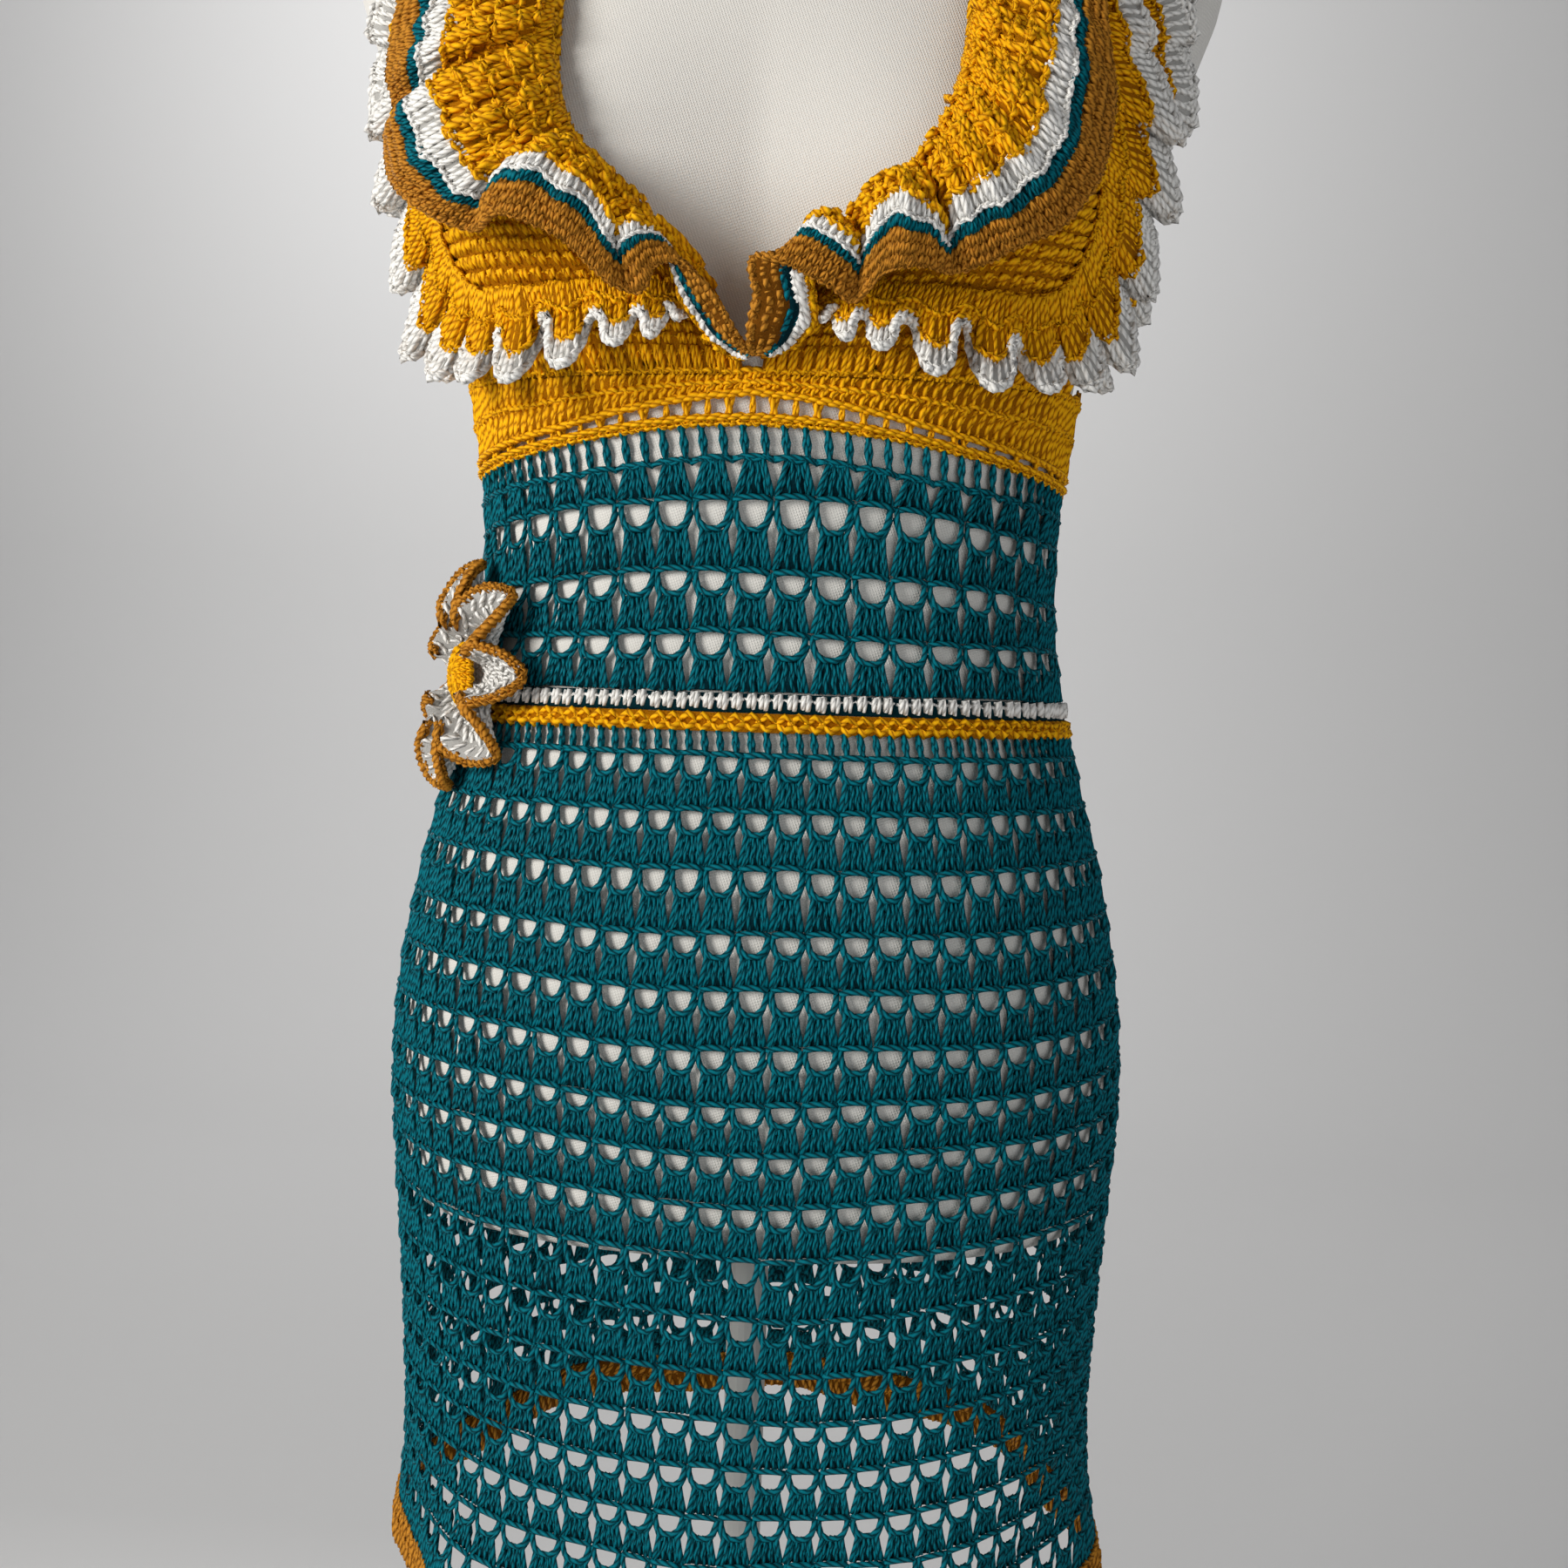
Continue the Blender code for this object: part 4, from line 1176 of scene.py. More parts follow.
@dataclass
class NetBody:
    """The teal net above and below the waist stripes."""

    upper: NetRows = field(default_factory=lambda: NetRows(45, 0.08, girth_z=1.05))
    skirt: NetRows = field(default_factory=lambda: NetRows(66, 0.55, girth_z=0.85))
    solid_share: float = 0.72
    hole_fan: FanShade = FanShade(0.03, 0.56, (0.37, 0.26, 0.20))
    tall_fan: FanShade = FanShade(0.05, 0.92, (0.36, 0.24, 0.16))
    tiers = (
        # name, hole rows and seed
        ("net_skirt_low", range(0, 6), 21), ("net_skirt_middle", range(6, 12), 22),
        ("net_skirt_top", range(12, 17), 23),
    )
    hem_front_z: float = 0.6242  # the net's lowest line at the centre front
    upper_lines: tuple[float, ...] = (1.0040, 1.0270, 1.0510, 1.0790, 1.0930, 1.1045)
    hole_lines: tuple[float, ...] = (
        0.9805, 0.9595, 0.9375, 0.9135, 0.8925, 0.8705, 0.8495, 0.8305, 0.8105, 0.7895, 0.7655,
        0.7435, 0.7245, 0.7055, 0.6865, 0.6675, 0.6485,
    )

    def build_upper(self) -> None:
        """Builds the fitted net between the waist and the bust."""
        half, net = SEAMS.gap / 2, self.upper
        surface = net.surface(lambda d: SEAMS.top_z + half + 0 * d,
                              lambda d: SEAMS.back_edge(d) - half, self.upper_lines)
        skein, posts, inner = Skein(11), Skein(12), Skein(13)
        lines = len(self.upper_lines) - 1
        holes, tall, last = (0, 1, 2), (3,), (4,)
        net.work(skein, surface, net.cells(), lines, holes)
        net.work(skein, surface, net.legs(), lines, tall)
        net.work(skein, surface, net.posts(), lines, last)
        net.work(posts, surface, net.posts_of_fans(), lines, holes)
        net.work(posts, surface, net.tall_fans(), lines, tall)
        net.shade(inner, surface, self.hole_fan, lines, holes)
        net.shade(inner, surface, self.tall_fan, lines, tall)
        self.declare("net_upper", "body_net_upper", (skein, posts, inner),
                     surface.flat((0.0, 1.0)))

    def declare(self, name: str, node: str, skeins: Sequence[Skein],
                flat: tuple[float, float]) -> None:
        """Makes the pieces of one net and declares its sheet.

        Args:
            name: Name of the net.
            node: The solid that it stands for.
            skeins: The net's own strands, its fans' posts and the strips of painted shade inside
                them.
            flat: Its flat length and width; not used.
        """
        net, posts, inner = skeins
        piece = net.piece(name, Yarn.TEAL)
        # the last piece holds the strips of painted shade inside the fans
        others = [posts.piece(f"{name}_posts", Yarn.TEAL),
                  inner.piece(f"{name}_inside", Yarn.TEAL, True)]
        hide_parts(node)

    def build_skirt(self) -> None:
        """Builds the skirt's net in three tiers, each a piece of its own."""
        half, net = SEAMS.gap / 2, self.skirt
        levels = (self.hem_front_z, *reversed(self.hole_lines), SEAMS.gold_z - half)
        surface = net.surface(lambda d: FORM.hem(d) + SEAMS.hem_trim + half,
                              lambda d: SEAMS.gold_z - half + 0 * d, levels)
        lines, holes = len(levels) - 1, len(self.hole_lines)
        for name, rows, seed in self.tiers:
            skein, posts, inner = Skein(seed), Skein(seed + 10), Skein(seed + 20)
            net.work(skein, surface, net.cells(), lines, rows)
            top = rows[-1] + 1
            if top == holes:
                net.work(skein, surface, net.posts(0.0), lines, (holes,))
                top = lines
            net.work(posts, surface, net.posts_of_fans(), lines, rows)
            net.shade(inner, surface, self.hole_fan, lines, rows)
            self.declare(name, "skirt_net", (skein, posts, inner),
                         surface.flat((rows[0] / lines, top / lines)))


@dataclass
class WaistAndHem:
    """The two waist stripes and the hem's trim, closed round the body."""

    waist_z: float = 1.0
    hip_z: float = 0.85

    def ring(self, low: Callable[[Array], Array], high: Callable[[Array], Array],
             girth_z: float) -> Surface:
        """A closed strip of cloth between two edge lines round the body.

        Args:
            low: The bottom edge's height for each angle.
            high: The top edge's.
            girth_z: Height at which the stitches lie evenly.

        Returns:
            The surface.
        """
        turns = FORM.even_turns(girth_z)

        def place(s: Array, t: Array) -> Array:
            """Points of the strip."""
            deg = turns(s)
            return FORM.around(deg, low(deg) + (high(deg) - low(deg)) * t, SEAMS.body_mid)

        return Surface(place, (720, 4), 1.0, True)

    def build(self) -> None:
        """Builds the stripes and the trim."""
        half = SEAMS.gap / 2
        white = self.ring(lambda d: SEAMS.white_z + half + 0 * d,
                          lambda d: SEAMS.top_z - half + 0 * d, self.waist_z)
        gold = self.ring(lambda d: SEAMS.gold_z + half + 0 * d,
                         lambda d: SEAMS.white_z - half + 0 * d, self.waist_z)
        hem = self.ring(FORM.hem, lambda d: FORM.hem(d) + SEAMS.hem_trim - half, self.hip_z)
        # the white stripe's cloth shows the teal's painted shade between its stitches
        Crochet("waist_white", white, rows=1, stitches=136, stitch=Stitch.SPREAD,
                yarn=Yarn.IVORY, radius=0.00140, replaces=("waist_stripe_white",),
                seed=31, core_steps=(132, 1), ground=Yarn.TEAL).build()
        Crochet("waist_gold", gold, rows=1, stitches=120, stitch=Stitch.CHAIN,
                yarn=Yarn.MUSTARD, radius=0.00190, replaces=("waist_stripe_gold",),
                seed=32, core_steps=(132, 1)).build()
        Crochet("hem_edge", hem, rows=2, stitches=200, stitch=Stitch.DOUBLE,
                yarn=Yarn.CARAMEL, radius=0.00115, replaces=("hem_trim",),
                rests_on=("net_skirt_low",), held="hung", seed=33,
                core_steps=(160, 2)).build()


@dataclass
class BustBand:
    """The band under the cups: a looped edge, a row of eyelets and tall slanted stitches.

    Attributes:
        end: Angle of the band's ends.
        edge: Height of the looped edge.
        eyelets: Number of eyelets.
        pitch: Angle from one eyelet to the next.
        width: Angle of one eyelet.
        height: Height of the middle eyelets.
        end_height: Height of the last ones.
        end_posts: Plain posts past the eyelets at each end.
        end_room: Their distance from the band's end, as s.
        post_room: Their distance from the eyelets, as s.
        twists: Twists of the pairs of strands along the eyelets.
        cord_sway: How far those strands sway up and down, as t.
        cord_lift: How far they stand out.
    """

    end: float = 87.0
    edge: float = 0.0030
    eyelets: int = 18
    pitch: float = 4.85
    width: float = 3.7
    height: float = 0.0095
    end_height: float = 0.0045
    end_posts: int = 7
    end_room: float = 0.01
    post_room: float = 0.012
    twists: int = 36
    cord_sway: float = 0.08
    cord_lift: float = 0.0010

    def levels(self, deg: Array) -> tuple[Array, Array, Array, Array]:
        """Heights of the band's four lines, from the seam up."""
        low = SEAMS.bust_seam(deg)
        last = 0.5 * (self.eyelets - 1) * self.pitch + 0.5 * self.width
        shrink = np.minimum(np.abs(deg) / last, 1.0)
        tall = self.height + (self.end_height - self.height) * shrink
        return (low + SEAMS.gap / 2, low + self.edge, low + self.edge + tall, SEAMS.band_top(deg))

    def strip(self, low: int, high: int) -> Surface:
        """The cloth between two of the band's lines."""
        def place(s: Array, t: Array) -> Array:
            """Points of the strip."""
            deg = (2 * s - 1) * self.end
            lines = self.levels(deg)
            z = lines[low] + (lines[high] - lines[low]) * t
            return FORM.around(deg, z, SEAMS.body_mid)

        return Surface(place, (360, 6), 1.0)

    def build(self) -> None:
        """Builds the edge, the posts between the eyelets and the dense rows."""
        edge, open_row, dense = self.strip(0, 1), self.strip(1, 2), self.strip(2, 3)
        Crochet("band_edge", edge, rows=1, stitches=100, stitch=Stitch.CHAIN,
                yarn=Yarn.MUSTARD, radius=0.00105, replaces=("bust_band",), seed=41,
                core_steps=(120, 1)).build()
        Crochet("band_rows", dense, rows=2, stitches=84, stitch=Stitch.TALL,
                yarn=Yarn.MUSTARD, radius=0.00150, replaces=("bust_band",), turn_rows=False,
                seed=42, core_steps=(120, 2)).build()
        skein = Skein(43)
        step = self.pitch / (2 * self.end)
        places = 0.5 + (np.arange(self.eyelets + 1) - 0.5 * self.eyelets) * step
        ends = np.concatenate((
            np.linspace(self.end_room, places[0] - self.post_room, self.end_posts),
            np.linspace(places[-1] + self.post_room, 1 - self.end_room, self.end_posts),
        ))
        crossed = twisted((0.0, -0.35), (0.0, 1.15), 0.16, 0.0008, 0.5, 5)
        slim = twisted((0.0, -0.1), (0.0, 1.1), 0.06, 0.0005, 0.7, 5, 0.2)
        plain = twisted((0.0, -0.2), (0.1, 1.1), 0.12, 0.0006, 0.7, 5)
        for pattern, lots, thick, stray in (
            (crossed, places[::2], 0.00115, 0.03), (slim, places[1::2], 0.0009, 0.03),
            (plain, ends, 0.00105, 0.05),
        ):
            worked(skein, open_row, pattern, lots, np.zeros(len(lots)), (step, 1.0), thick,
                   (stray, 0.0, 0.0001))
        for level, out, thick in ((0.04, 0.0012, 0.0011), (1.0, 0.0010, 0.0013)):
            self.lay_cord(skein, open_row, level, out, thick)
        skein.piece("band_eyelets", Yarn.MUSTARD)

    def lay_cord(self, skein: Skein, surface: Surface, level: float, out: float,
                 thick: float) -> None:
        """Lays the twisted pair of strands along one edge of the eyelets.

        Args:
            skein: Where the strands go.
            surface: The row of eyelets.
            level: Height of the pair, as t.
            out: Half its depth, in metres.
            thick: The yarn's radius.
        """
        steps = 5
        cord = twisted((-0.55, level), (0.55, level), 0.0, out, 1.0, steps)
        for way, one in zip((-1, 1), cord):
            one[:, 1] += way * self.cord_sway * np.cos(np.linspace(0, 2 * math.pi, steps))
            one[:, 2] += self.cord_lift
        lots = (np.arange(self.twists) + 0.5) / self.twists
        worked(skein, surface, cord, lots, np.zeros(self.twists), (1 / self.twists, 1.0), thick,
               (0.0, 0.0, 0.0))


@dataclass
class BackTrim:
    """The three-colour edging along the open back."""

    stitches: int = 110
    radius: float = 0.00105

    def build(self) -> None:
        """Builds the edging in a white, a teal and a caramel strip."""
        start = SEAMS.scoop_start

        def place(s: Array, t: Array) -> Array:
            """Points of the edging."""
            deg = start + (360.0 - 2 * start) * s
            turn = np.abs((deg + 180.0) % 360.0 - 180.0)
            fade = np.maximum(0.0, 1 - (turn - start) / SEAMS.side_rise_deg)
            tall = SEAMS.trim_width + SEAMS.side_rise * fade**2
            return FORM.around(deg, SEAMS.back_edge(deg) + SEAMS.gap / 2 + tall * t,
                               SEAMS.body_mid)

        surface = Surface(place, (240, 6), 1.0)
        for name, span, rows, stitch, yarn, seed in (
            ("back_trim_white", (0.0, 0.36), 1, Stitch.DOUBLE, Yarn.IVORY, 51),
            ("back_trim_teal", (0.36, 0.58), 1, Stitch.SINGLE, Yarn.TEAL, 52),
            ("back_trim_caramel", (0.58, 1.0), 2, Stitch.SINGLE, Yarn.CARAMEL, 53),
        ):
            Crochet(name, surface, rows, self.stitches, stitch, yarn, self.radius,
                    ("back_trim",), span, seed=seed, core_steps=(80, 1)).build()


@dataclass
class Cup:
    """One triangular cup of open double crochet, laid on the form."""

    word: str
    side: int
    seed: int
    rows: Array = field(default_factory=lambda: np.array((
        # neckline angle and height, arm angle and height
        (2.0, 1.1290, 72.0, 1.1330), (5.5, 1.1440, 70.5, 1.1560), (11.0, 1.1620, 68.0, 1.1760),
        (18.5, 1.1750, 65.5, 1.1950), (24.5, 1.1890, 63.5, 1.2140), (29.5, 1.2050, 61.0, 1.2330),
        (34.0, 1.2270, 59.0, 1.2530), (38.0, 1.2560, 57.0, 1.2780), (41.5, 1.2900, 56.0, 1.3060),
        (46.0, 1.3380, 56.5, 1.3420),
    )))
    band_lap: float = 0.0010
    foot: float = 0.02

    def surface(self) -> Surface:
        """The cup's cloth: s from the neckline to the arm, t up from the band."""
        def place(s: Array, t: Array) -> Array:
            """Points of the cup."""
            neck_deg, neck_z, arm_deg, arm_z = read_even_rows(self.rows, t)
            deg = self.side * (neck_deg + (arm_deg - neck_deg) * s)
            z = neck_z + (arm_z - neck_z) * s
            floor = SEAMS.band_top(deg) - self.band_lap
            z = np.where(t < self.foot, floor, np.maximum(z, floor + self.foot * t))
            return FORM.laid(deg, z, SEAMS.cup_mid)

        return Surface(place, (60, 90), float(self.side))

    def build(self) -> None:
        """Builds the cup."""
        node = f"cup_{self.word}"
        Crochet(f"{node}_worked", self.surface(), rows=33, stitches=26, stitch=Stitch.SPREAD,
                yarn=Yarn.MUSTARD, radius=0.00135, replaces=(node,), seed=self.seed,
                core_steps=(24, 48)).build()


class NeckStrap:
    """The halter strap from one cup's top, round the back of the neck, to the other's."""

    rows = np.array((
        # inner angle and height, outer angle and height
        (46.2, 1.3385, 56.8, 1.3430), (48.5, 1.3690, 61.5, 1.3700), (53.5, 1.4000, 69.0, 1.3960),
        (63.0, 1.4240, 80.0, 1.4150), (78.0, 1.4430, 96.0, 1.4270), (104.0, 1.4570, 116.0, 1.4340),
        (140.0, 1.4640, 144.0, 1.4380), (180.0, 1.4660, 180.0, 1.4395),
    ))

    def surface(self) -> Surface:
        """The strap's cloth: s along it, t from its inner to its outer edge."""
        def place(s: Array, t: Array) -> Array:
            """Points of the strap."""
            share = 1 - np.abs(2 * s - 1)
            inner_deg, inner_z, outer_deg, outer_z = read_even_rows(self.rows, share)
            deg = inner_deg + (outer_deg - inner_deg) * t
            deg = np.where(s > 0.5, 360.0 - deg, deg)
            z = inner_z + (outer_z - inner_z) * t
            return FORM.laid(deg, z, SEAMS.cup_mid + SEAMS.nape_clear * share**2)

        return Surface(place, (300, 8), -1.0)

    def build(self) -> None:
        """Builds the strap."""
        Crochet("strap_worked", self.surface(), rows=3, stitches=120, stitch=Stitch.DOUBLE,
                yarn=Yarn.MUSTARD, radius=0.00105, replaces=("neck_strap",), seed=61,
                core_steps=(120, 3)).build()


@dataclass
class Ruffle:
    """A gathered ruffle: a strip sewn along a line, whose free edge waves and falls.

    Attributes:
        side: 1 for the wearer's left, or -1.
        waves: Waves along the ruffle.
        drop: How far the waves fall, as a share of their depth.
        seam_lift: Distance of the seam from the form.
        table: s, seam angle and height, edge angle and height, lift and wave.
        swing: How much deeper the yarn's waves are than the table's.
        spread: How much closer the waves stand at the start than at the end.
        uneven: How unevenly the waves follow each other, in radians.
        uneven_waves: How often that changes along the ruffle.
        change: How much the waves differ in depth.
        change_waves: How often that changes along the ruffle.
        skew: How much steeper a wave's one side is than its other, in radians.
        curl: How far a wave folds over the next one, in waves.
        raised: How far the free edge stands above the table's.
        rising: Power of t by which the ruffle leaves its seam's distance.
        opening: Power of t by which its waves open.
    """

    side: int
    waves: float
    drop: float
    seam_lift: float
    table: Array
    swing: float = 1.75
    spread: float = 0.25
    uneven: float = 0.7
    uneven_waves: float = 2.3
    change: float = 0.3
    change_waves: float = 3.7
    skew: float = 0.6
    curl: float = 0.115
    raised: float = 0.0015
    rising: float = 1.2
    opening: float = 1.5

    def surface(self) -> Surface:
        """The ruffle's cloth: s along the seam, t from the seam to the free edge."""
        def place(s: Array, t: Array) -> Array:
            """Points of the ruffle."""
            turn = 2 * math.pi * self.waves * s * (1 + self.spread * (1 - s))
            turn = turn + self.uneven * np.sin(2 * math.pi * self.uneven_waves * s)
            bend = np.sin(2 * turn) * t**self.opening * 4 * s * (1 - s)
            along = s - self.curl / self.waves * bend
            seam_deg, seam_z, edge_deg, edge_z, lift, wave = read_columns(
                self.table, range(1, 7), along)
            wave = wave * self.swing * (
                1 + self.change * np.sin(2 * math.pi * self.change_waves * s + 1.0))
            fall = self.drop * wave * (0.05 + 0.60 * np.sin(turn + 0.5)) - self.raised
            opening = t**self.opening
            away = (self.seam_lift + (lift - self.seam_lift) * t**self.rising
                    + wave * np.sin(turn + self.skew * np.sin(turn)) * opening)
            deg = seam_deg + (edge_deg - seam_deg) * t
            z = seam_z + (edge_z - seam_z) * t - fall * opening
            return FORM.laid(self.side * deg, z, away)

        return Surface(place, (420, 24), -float(self.side))


@dataclass(frozen=True)
class Collar:
    """A gathered collar: a strip through three lines, its seam, its crest and its free edge.

    Attributes:
        side: 1 for the wearer's left, or -1.
        seam_lift: Distance of the seam from the form.
        seam: Places along the collar, with the seam's angle and height.
        folds: Places along it, with the crest's and the edge's angle, height and lift.
        crest: Where the crest runs, as t.
        ripple: Depth of the gathers between the seam and the crest.
        gathers: Number of those gathers.
        uneven: How unevenly the gathers follow each other, in radians.
        uneven_turns: How often that changes along the collar, in radians.
        lean: How far the gathers lean along the collar, in radians.
        heave: How far they move up and down, as a share of their depth.
    """

    side: int
    seam_lift: float
    seam: Array
    folds: Array
    crest: float = 0.62
    ripple: float = 0.0016
    gathers: float = 19.0
    uneven: float = 2.2
    uneven_turns: float = 17.0
    lean: float = 1.4
    heave: float = 0.4

    def surface(self) -> Surface:
        """The collar's cloth: s along the seam, t from the seam to the free edge."""
        def place(s: Array, t: Array) -> Array:
            """Points of the collar."""
            at_seam = (*read_columns(self.seam, (1, 2), s), self.seam_lift)
            at_crest = read_columns(self.folds, (1, 2, 3), s)
            at_edge = read_columns(self.folds, (4, 5, 6), s)
            low = (t - self.crest) * (t - 1) / self.crest
            middle = t * (1 - t) / (self.crest * (1 - self.crest))
            high = t * (t - self.crest) / (1 - self.crest)
            deg, z, away = (
                first * low + second * middle + third * high
                for first, second, third in zip(at_seam, at_crest, at_edge)
            )
            turn = (2 * math.pi * self.gathers * s + self.uneven * np.sin(self.uneven_turns * s)
                    + self.lean * t)
            ripple = self.ripple * 4 * t * (1 - t)
            away = away + ripple * np.sin(turn)
            z = z + self.heave * ripple * np.cos(turn)
            return FORM.laid(self.side * deg, z, away)

        return Surface(place, (480, 24), -float(self.side))


ON_CUP = SEAMS.cup_clear + 1.5 * SEAMS.cloth + SEAMS.gap
BESIDE_CUP = SEAMS.cup_clear + 0.5 * SEAMS.cloth


class Ruffles:
    """Collars, frills and outer frills of both sides."""

    seam = np.array((
        # place along the collar, angle and height
        (0.00, 2.2, 1.1300), (0.08, 6.0, 1.1440), (0.16, 11.5, 1.1620), (0.24, 19.0, 1.1750),
        (0.32, 25.0, 1.1890), (0.40, 29.5, 1.2040), (0.50, 33.5, 1.2240), (0.60, 37.5, 1.2500),
        (0.70, 41.0, 1.2820), (0.80, 44.8, 1.3250), (0.90, 51.5, 1.3850), (1.00, 72.0, 1.4340),
    ))
    folds_right = np.array((
        # place along the collar; angle, height and lift of the crest; the same of the edge
        (0.000, 0.9, 1.1290, 0.013, -0.8, 1.1303, 0.015),
        (0.040, 6.4, 1.1340, 0.015, 2.3, 1.1354, 0.020),
        (0.080, 12.2, 1.1465, 0.018, 8.0, 1.1504, 0.025),
        (0.120, 16.5, 1.1657, 0.024, 14.3, 1.1623, 0.028),
        (0.155, 20.1, 1.1740, 0.029, 18.4, 1.1632, 0.027),
        (0.185, 22.6, 1.1741, 0.030, 19.9, 1.1573, 0.025),
        (0.205, 23.6, 1.1672, 0.020, 21.6, 1.1553, 0.021),
        (0.225, 23.7, 1.1734, 0.027, 24.5, 1.1591, 0.024),
        (0.250, 24.5, 1.1792, 0.031, 26.8, 1.1662, 0.027),
        (0.290, 27.5, 1.1847, 0.033, 29.5, 1.1735, 0.029),
        (0.330, 30.4, 1.1879, 0.033, 33.5, 1.1785, 0.029),
        (0.355, 32.5, 1.1885, 0.031, 35.8, 1.1792, 0.027),
        (0.378, 35.5, 1.1857, 0.020, 39.9, 1.1765, 0.019),
        (0.405, 36.9, 1.1854, 0.023, 43.9, 1.1806, 0.022),
        (0.440, 38.8, 1.1904, 0.026, 49.5, 1.1887, 0.025),
        (0.480, 41.2, 1.1984, 0.027, 53.6, 1.1987, 0.026),
        (0.530, 45.3, 1.2112, 0.026, 57.8, 1.2129, 0.025),
        (0.565, 48.8, 1.2230, 0.021, 61.5, 1.2250, 0.020),
        (0.600, 46.3, 1.2280, 0.027, 60.5, 1.2360, 0.026),
        (0.700, 52.4, 1.2630, 0.022, 61.5, 1.2560, 0.024),
        (0.800, 54.5, 1.3070, 0.020, 61.0, 1.2950, 0.021),
        (0.900, 60.0, 1.3680, 0.017, 65.5, 1.3560, 0.018),
        (1.000, 79.0, 1.4160, 0.012, 84.0, 1.4040, 0.013),
    ))
    folds_left = np.array((
        # the same columns
        (0.000, 4.2, 1.1297, 0.013, 1.4, 1.1300, 0.015),
        (0.030, 9.9, 1.1363, 0.015, 0.7, 1.1352, 0.022),
        (0.060, 12.4, 1.1449, 0.018, 3.0, 1.1492, 0.028),
        (0.095, 12.3, 1.1578, 0.024, 3.4, 1.1611, 0.032),
        (0.125, 14.6, 1.1724, 0.031, 9.7, 1.1619, 0.031),
        (0.155, 18.1, 1.1747, 0.032, 13.6, 1.1599, 0.028),
        (0.180, 20.6, 1.1713, 0.030, 17.6, 1.1562, 0.025),
        (0.200, 20.9, 1.1656, 0.021, 20.3, 1.1523, 0.020),
        (0.220, 22.6, 1.1742, 0.027, 22.4, 1.1577, 0.024),
        (0.245, 24.0, 1.1796, 0.032, 24.0, 1.1632, 0.027),
        (0.285, 26.4, 1.1811, 0.034, 26.5, 1.1664, 0.029),
        (0.320, 28.7, 1.1793, 0.031, 29.1, 1.1670, 0.027),
        (0.345, 30.6, 1.1746, 0.021, 32.2, 1.1650, 0.020),
        (0.370, 31.1, 1.1814, 0.028, 34.5, 1.1684, 0.024),
        (0.410, 33.3, 1.1844, 0.031, 37.8, 1.1747, 0.027),
        (0.450, 35.5, 1.1885, 0.031, 41.5, 1.1800, 0.027),
        (0.490, 37.3, 1.1932, 0.030, 44.4, 1.1882, 0.027),
        (0.540, 38.9, 1.2026, 0.028, 46.5, 1.1993, 0.026),
        (0.600, 42.0, 1.2210, 0.026, 49.5, 1.2160, 0.026),
        (0.700, 48.5, 1.2600, 0.022, 54.0, 1.2520, 0.024),
        (0.800, 52.4, 1.3070, 0.020, 57.5, 1.2950, 0.021),
        (0.900, 59.0, 1.3680, 0.017, 64.0, 1.3560, 0.018),
        (1.000, 79.0, 1.4160, 0.012, 84.0, 1.4040, 0.013),
    ))
    frill = np.array((
        # place along the frill, seam angle and height, edge angle and height, lift, wave
        (0.00, 12.5, 1.1500, 14.0, 1.1450, 0.009, 0.001),
        (0.07, 18.0, 1.1555, 18.5, 1.1420, 0.018, 0.003),
        (0.20, 30.0, 1.1570, 29.0, 1.1410, 0.023, 0.006),
        (0.33, 43.0, 1.1570, 43.0, 1.1370, 0.023, 0.006),
        (0.44, 52.0, 1.1600, 57.0, 1.1350, 0.022, 0.006),
        (0.55, 56.5, 1.1720, 68.0, 1.1520, 0.020, 0.005),
        (0.67, 58.0, 1.1930, 72.0, 1.1840, 0.019, 0.0045),
        (0.80, 56.5, 1.2200, 71.0, 1.2200, 0.019, 0.0045),
        (0.92, 54.0, 1.2480, 66.0, 1.2520, 0.016, 0.003),
        (1.00, 52.5, 1.2720, 60.0, 1.2820, 0.011, 0.001),
    ))
    arm_frill = np.array((
        # place along the frill, seam angle and height, edge angle and height, lift, wave
        (0.00, 71.2, 1.1520, 80.0, 1.1360, 0.010, 0.002),
        (0.25, 68.4, 1.1760, 84.0, 1.1680, 0.013, 0.004),
        (0.50, 64.9, 1.2050, 83.0, 1.2070, 0.014, 0.004),
        (0.75, 61.4, 1.2330, 79.0, 1.2450, 0.013, 0.003),
        (1.00, 59.0, 1.2580, 70.0, 1.2850, 0.010, 0.002),
    ))

    def build_collar(self, word: str, side: int) -> None:
        """Builds one collar with its white, teal and caramel edge rows."""
        folds = self.folds_left if side > 0 else self.folds_right
        surface = Collar(side, ON_CUP + SEAMS.seam_room, self.seam, folds).surface()
        main, edge = f"collar_{word}", f"collar_{word}_edge"
        for name, span, rows, count, stitch, yarn, radius, node in (
            ("main", (0.0, 0.60), 5, 118, Stitch.DOUBLE, Yarn.MUSTARD, 0.00138, main),
            ("white", (0.60, 0.735), 1, 134, Stitch.DOUBLE, Yarn.IVORY, 0.00120, edge),
            ("teal", (0.735, 0.81), 1, 134, Stitch.SINGLE, Yarn.TEAL, 0.00110, edge),
            ("caramel", (0.81, 1.0), 3, 140, Stitch.SINGLE, Yarn.CARAMEL, 0.00115, edge),
        ):
            Crochet(f"collar_{word}_{name}", surface, rows, count, stitch, yarn, radius,
                    (node,), span, (f"cup_{word}",), "gathered", seed=70 + side * 3 + rows,
                    core_steps=(200, 3 if rows > 2 else 1), rim=0.05 if rows == 3 else 0.0,
                    loose=(0.14, 0.12, 0.0008) if rows > 3 else (0.06, 0.04, 0.0002)).build()

